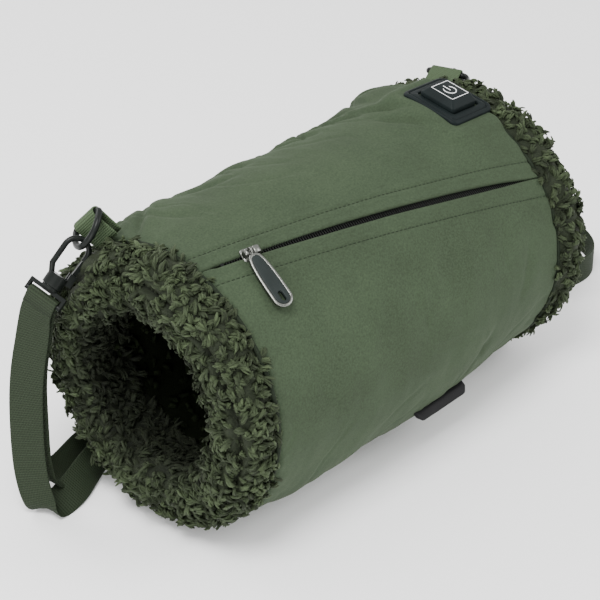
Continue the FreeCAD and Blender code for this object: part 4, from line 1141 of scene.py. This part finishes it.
# ================================================================ label
def make_label():
    """Folded cloth label with rounded ends, lying out from the seam under the front."""
    x_mid, deg, long_half, out_len = 26.0, 128.0, 23.0, 8.0
    radial = unit(on_tube(0, deg, 1) - Vector((0, 0, AXIS_Z)))
    root = on_tube(x_mid, deg, barrel_radius(x_mid) - 1.5)
    across = Vector((1, 0, 0))
    side = radial.cross(across)
    rows = []
    for i in range(33):
        t = -1 + 2 * i / 32
        reach = 1.5 + out_len * (1 - max(0, abs(t) - 0.86) / 0.14 * 0.45)
        sag = 1.3 * t * t + 0.5 * math.sin(3 * t)
        centre = root + across * (long_half * t) + side * sag
        profile = [(0, 0.75), (reach * 0.5, 0.8), (reach - 1.0, 0.9), (reach - 0.3, 0.6), (reach, 0),
                   (reach - 0.3, -0.6), (reach - 1.0, -0.9), (reach * 0.5, -0.8), (0, -0.75)]
        rows.append([centre + radial * a + side * b for a, b in profile])
    points, faces = loft(rows, True, True, True)
    add_piece("folded_label", points, faces, LABEL, "root", ("side_label",))


# ================================================================ stage
def make_camera():
    """Long lens from the near front, a little above the tube."""
    azimuth, height = math.radians(-47.7), math.radians(31.8)
    back = Vector((math.sin(azimuth) * math.cos(height), -math.cos(azimuth) * math.cos(height),
                   math.sin(height)))
    camera = bpy.data.objects.new("camera", bpy.data.cameras.new("camera"))
    camera.data.lens = 120.0
    camera.data.sensor_width = 36.0
    camera.data.shift_x = -0.0333
    camera.data.shift_y = -0.0122
    camera.location = Vector((0, 0, 0.090)) + back * 1.226
    camera.rotation_euler = back.to_track_quat("Z", "Y").to_euler()
    bpy.context.scene.collection.objects.link(camera)
    bpy.context.scene.camera = camera


def make_stage():
    """White floor, bright surroundings and four soft lights."""
    mesh = bpy.data.meshes.new("floor")
    mesh.from_pydata([(-6, -6, 0), (6, -6, 0), (6, 6, 0), (-6, 6, 0)], [], [(0, 1, 2, 3)])
    mat, nodes, links, shader = material_nodes("floor")
    shader.inputs["Base Color"].default_value = (0.93, 0.93, 0.93, 1)
    shader.inputs["Roughness"].default_value = 0.9
    mesh.materials.append(mat)
    floor = bpy.data.objects.new("floor", mesh)
    bpy.context.scene.collection.objects.link(floor)

    world = bpy.data.worlds.new("studio")
    world.use_nodes = True
    world.node_tree.nodes["Background"].inputs["Color"].default_value = (1, 1, 1, 1)
    world.node_tree.nodes["Background"].inputs["Strength"].default_value = WORLD_LIGHT
    bpy.context.scene.world = world
    for place, size, power in LIGHTS:
        light = bpy.data.lights.new("softbox", "AREA")
        light.shape = "DISK"
        light.size = size
        light.energy = power
        holder = bpy.data.objects.new("softbox", light)
        holder.location = place
        aim = Vector(place) - Vector((0, 0, 0.08))
        holder.rotation_euler = aim.to_track_quat("Z", "Y").to_euler()
        bpy.context.scene.collection.objects.link(holder)


WORLD_LIGHT = 1.35
LIGHTS = [((-0.7, -0.3, 1.5), 0.7, 30.0), ((0.9, -1.1, 1.0), 0.9, 11.0), ((-0.2, 1.3, 1.2), 0.8, 12.0),
          ((-1.3, -0.5, 0.35), 0.7, 9.0)]


def finish_cad_nodes():
    """CAD nodes that show as they are, with rounded edges and their own materials."""
    for side in ("near", "far"):
        soften(side + "_d_ring", 0.2, BLACK_METAL)
        soften(side + "_hook_frame", 0.3, BLACK_METAL)
        soften(side + "_hook_gate", 0.25, BLACK_METAL)
        soften(side + "_gate_pin", 0.15, BLACK_METAL)
        soften(side + "_hook_base", 0.3, BLACK_METAL)
    soften("zip_end_stops", 0.15, BLACK_METAL)
    soften("heating_pad", 0.2, PLASTIC)
    soften("pocket_bag", 0.1, TAPE)
    soften("switch_board", 0.1, PLASTIC)
    soften("tact_switch", 0.1, PLASTIC)
    for name in ("power_lead", "pad_lead", "usb_plug_body", "usb_plug_shield"):
        soften(name, 0.15, PLASTIC)


make_camera()
make_stage()
make_shell()
make_stitches()
make_bindings()
Cuff("near_cuff", -1, R_NEAR, R_NEAR + 1.2, 27.5, 50.0, NEAR_LOBES).build(2700)
Cuff("far_cuff", 1, R_FAR, R_FAR + 3.4, 31.0, 50.0, FAR_LOBES).build(2050)
make_lining()
make_coil()
make_slider()
make_puller()
make_switch()
make_tabs()
make_strap()
make_label()
finish_cad_nodes()
